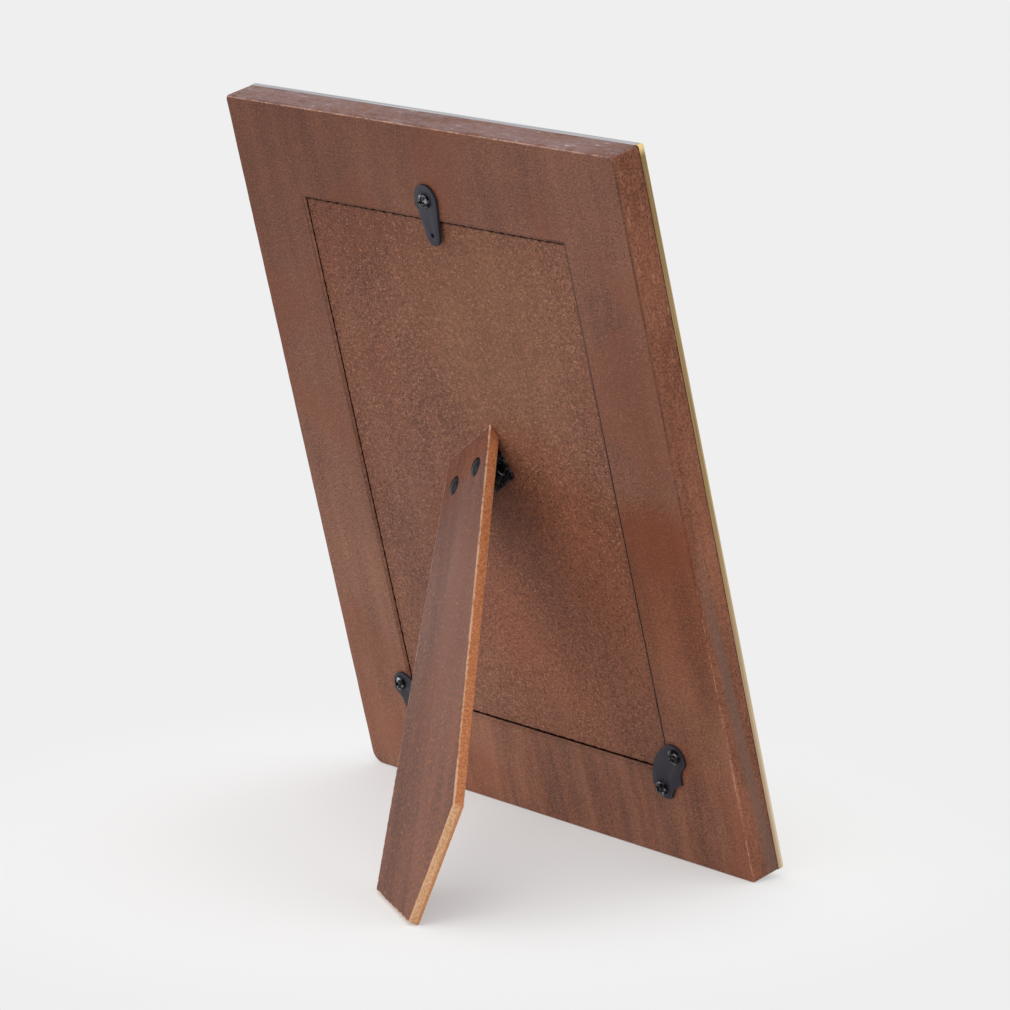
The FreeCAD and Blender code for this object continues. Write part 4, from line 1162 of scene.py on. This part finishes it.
def leg_material():
    material, graph, shader = new_material("stained leg")
    point = graph.millimetres(LEG)
    x, y, z = graph.parts(point)
    drawn_out = graph.vector("MULTIPLY", point, (0.8, 0.55, 1.0))
    stain = graph.group(STAIN, Point=drawn_out, Deep=paint(80, 47, 38), Warm=paint(138, 94, 78),
                        Red=paint(120, 70, 50), Fleck=paint(174, 130, 110), Bands=0.6,
                        Clouds=0.5, Redness=0.45, Fibres=1.2, Flecks=0.4)
    fibres = graph.noise(point, 1.5, detail=3.0, roughness=0.7)
    color = graph.blend(graph.ease(graph.attribute("cut_side"), 0.35, 0.65),
                        leg_face_color(graph, point, x, y, stain),
                        raw_color(graph, point, y, z, fibres))
    outer, inner = (graph.group(RUB, Point=point, Nearness=graph.attribute(arris),
                                Reach=reach, Patches=patches)["Mask"]
                    for arris, reach, patches in (("outer_arris", 0.22, 0.45),
                                                  ("inner_arris", 0.1, 0.5)))
    pale = graph.math("MAXIMUM", outer, graph.product(inner, 0.8))
    color = graph.blend(graph.product(pale, 0.75), color, paint(214, 172, 142))
    finish(graph, shader, color, stain["Grain"], 0.42, 0.56, sheen=0.18)
    bumped(graph, shader, graph.sum(stain["Grain"], fibres), 0.06)
    return material


stand_for(make_leg(), "easel_leg", leg_material())

# %% [markdown]
# The small fittings are steel with a black coat. It is a little cloudy, and bare steel shows in
# spots where a tool slipped. One group mixes both and hands back its masks, so that plates,
# hinge, rivets and screws can each have blacks and a sheen of their own.
# %% Group: black oxide
def oxide_group():
    """Cloudy black oxide, a little uneven, with spots where a tool rubbed it to bare steel."""
    tree, graph, given, result = new_group(
        "black oxide", {"Vector": "Point", "Color": "Deep Light", "Float": "Rubbed"},
        {"Color": "Color", "Float": "Clouds Fine Bare"})
    point = given["Point"]
    cloud = graph.noise(point, 0.35, detail=3.0)
    fine = graph.noise(point, 3.5)
    clouds = graph.sum(0.5, graph.swing(cloud, 1.0), graph.swing(fine, 0.8), clamp=True)
    spots = graph.noise(point, 0.8, detail=1.0)
    bare = graph.product(graph.ease(spots, 0.54, 0.62), given["Rubbed"])
    color = graph.blend(clouds, given["Deep"], given["Light"])
    graph.feed(result["Color"], graph.blend(bare, color, paint(150, 150, 156)))
    for name, value in (("Clouds", clouds), ("Fine", fine), ("Bare", bare)):
        graph.feed(result[name], value)
    return tree


OXIDE = oxide_group()
print("oxide group has", len(OXIDE.nodes), "nodes")


# %% Black finishes
def black_material(name, deep, light, low, high, sheen, rubbed=0.0):
    """Two blacks in clouds, a roughness from low to high, a sheen, and how rubbed it is."""
    material, graph, shader = new_material("black " + name)
    oxide = graph.group(OXIDE, Point=graph.millimetres(BOARD), Deep=paint(*deep),
                        Light=paint(*light), Rubbed=rubbed)
    finish(graph, shader, oxide["Color"], oxide["Clouds"], low, high, sheen)
    graph.feed(shader["Metallic"], oxide["Bare"])
    bumped(graph, shader, oxide["Fine"], 0.012)
    return material


BLACK_PLATE = black_material("plate", (30, 29, 38), (48, 46, 58), 0.4, 0.55, 0.28)
BLACK_LEAF = black_material("leaf", (6, 6, 7), (20, 20, 22), 0.12, 0.26, 0.5, rubbed=0.2)
BLACK_RIVET = black_material("rivet", (3, 3, 5), (13, 13, 20), 0.12, 0.2, 0.17)
BLACK_SCREW = black_material("screw", (4, 4, 5), (16, 16, 18), 0.14, 0.26, 0.28, rubbed=0.85)
print("finishes so far:", ", ".join(material.name for material in bpy.data.materials))

# %% [markdown]
# Stamped plates, rivets and screw heads have soft rims that catch the light. A copy of the
# construction's piece is merged into one skin, its flat areas become single faces, and a
# narrow bevel rounds its edges. That is enough for such small pieces, whose edges all wear
# alike.
# %% Pieces with rounded rims
SAME_POINT_MM = 0.002
FLAT_WITHIN = 0.5
RIM_FROM = 35


def finished_copy(node, name, material, rim_mm):
    """A merged copy of a CAD piece with its edges rounded by a bevel of that width in mm."""
    shape = bmesh.new()
    shape.from_mesh(nodes[node].data)
    bmesh.ops.remove_doubles(shape, verts=shape.verts, dist=SAME_POINT_MM * MM)
    bmesh.ops.dissolve_limit(shape, angle_limit=math.radians(FLAT_WITHIN),
                             verts=shape.verts, edges=shape.edges)
    mesh = bpy.data.meshes.new(name)
    shape.to_mesh(mesh)
    shape.free()
    mesh.polygons.foreach_set("use_smooth", [True] * len(mesh.polygons))
    piece = link(bpy.data.objects.new(name, mesh))
    bevel = piece.modifiers.new("rounded rims", "BEVEL")
    bevel.width = rim_mm * MM
    bevel.segments = 3
    bevel.limit_method = "ANGLE"
    bevel.angle_limit = math.radians(RIM_FROM)
    bevel.harden_normals = True
    return stand_for(piece, node, material)


# For each fitting its new name, its finish and the width of its rims in mm.
FITTINGS = {
    "turn_button": ("button_plate", BLACK_PLATE, 0.15),
    "corner_plate_left": ("left_plate", BLACK_PLATE, 0.15),
    "corner_plate_right": ("right_plate", BLACK_PLATE, 0.15),
    "hinge_panel_leaf": ("panel_leaf", BLACK_LEAF, 0.2),
    "hinge_leg_leaf": ("leg_leaf", BLACK_LEAF, 0.2),
    "hinge_pin": ("pin", BLACK_RIVET, 0.08),
    "panel_rivets": ("panel_side_rivets", BLACK_RIVET, 0.1),
    "leg_rivets": ("leg_side_rivets", BLACK_RIVET, 0.4),
    "turn_button_screw": ("button_screw", BLACK_SCREW, 0.12),
    "corner_plate_screws": ("plate_screws", BLACK_SCREW, 0.12),
}
for node, (name, material, rim_mm) in FITTINGS.items():
    piece = finished_copy(node, name, material, rim_mm)
    print(name, "has", len(piece.data.polygons), "faces before its rims are rounded")
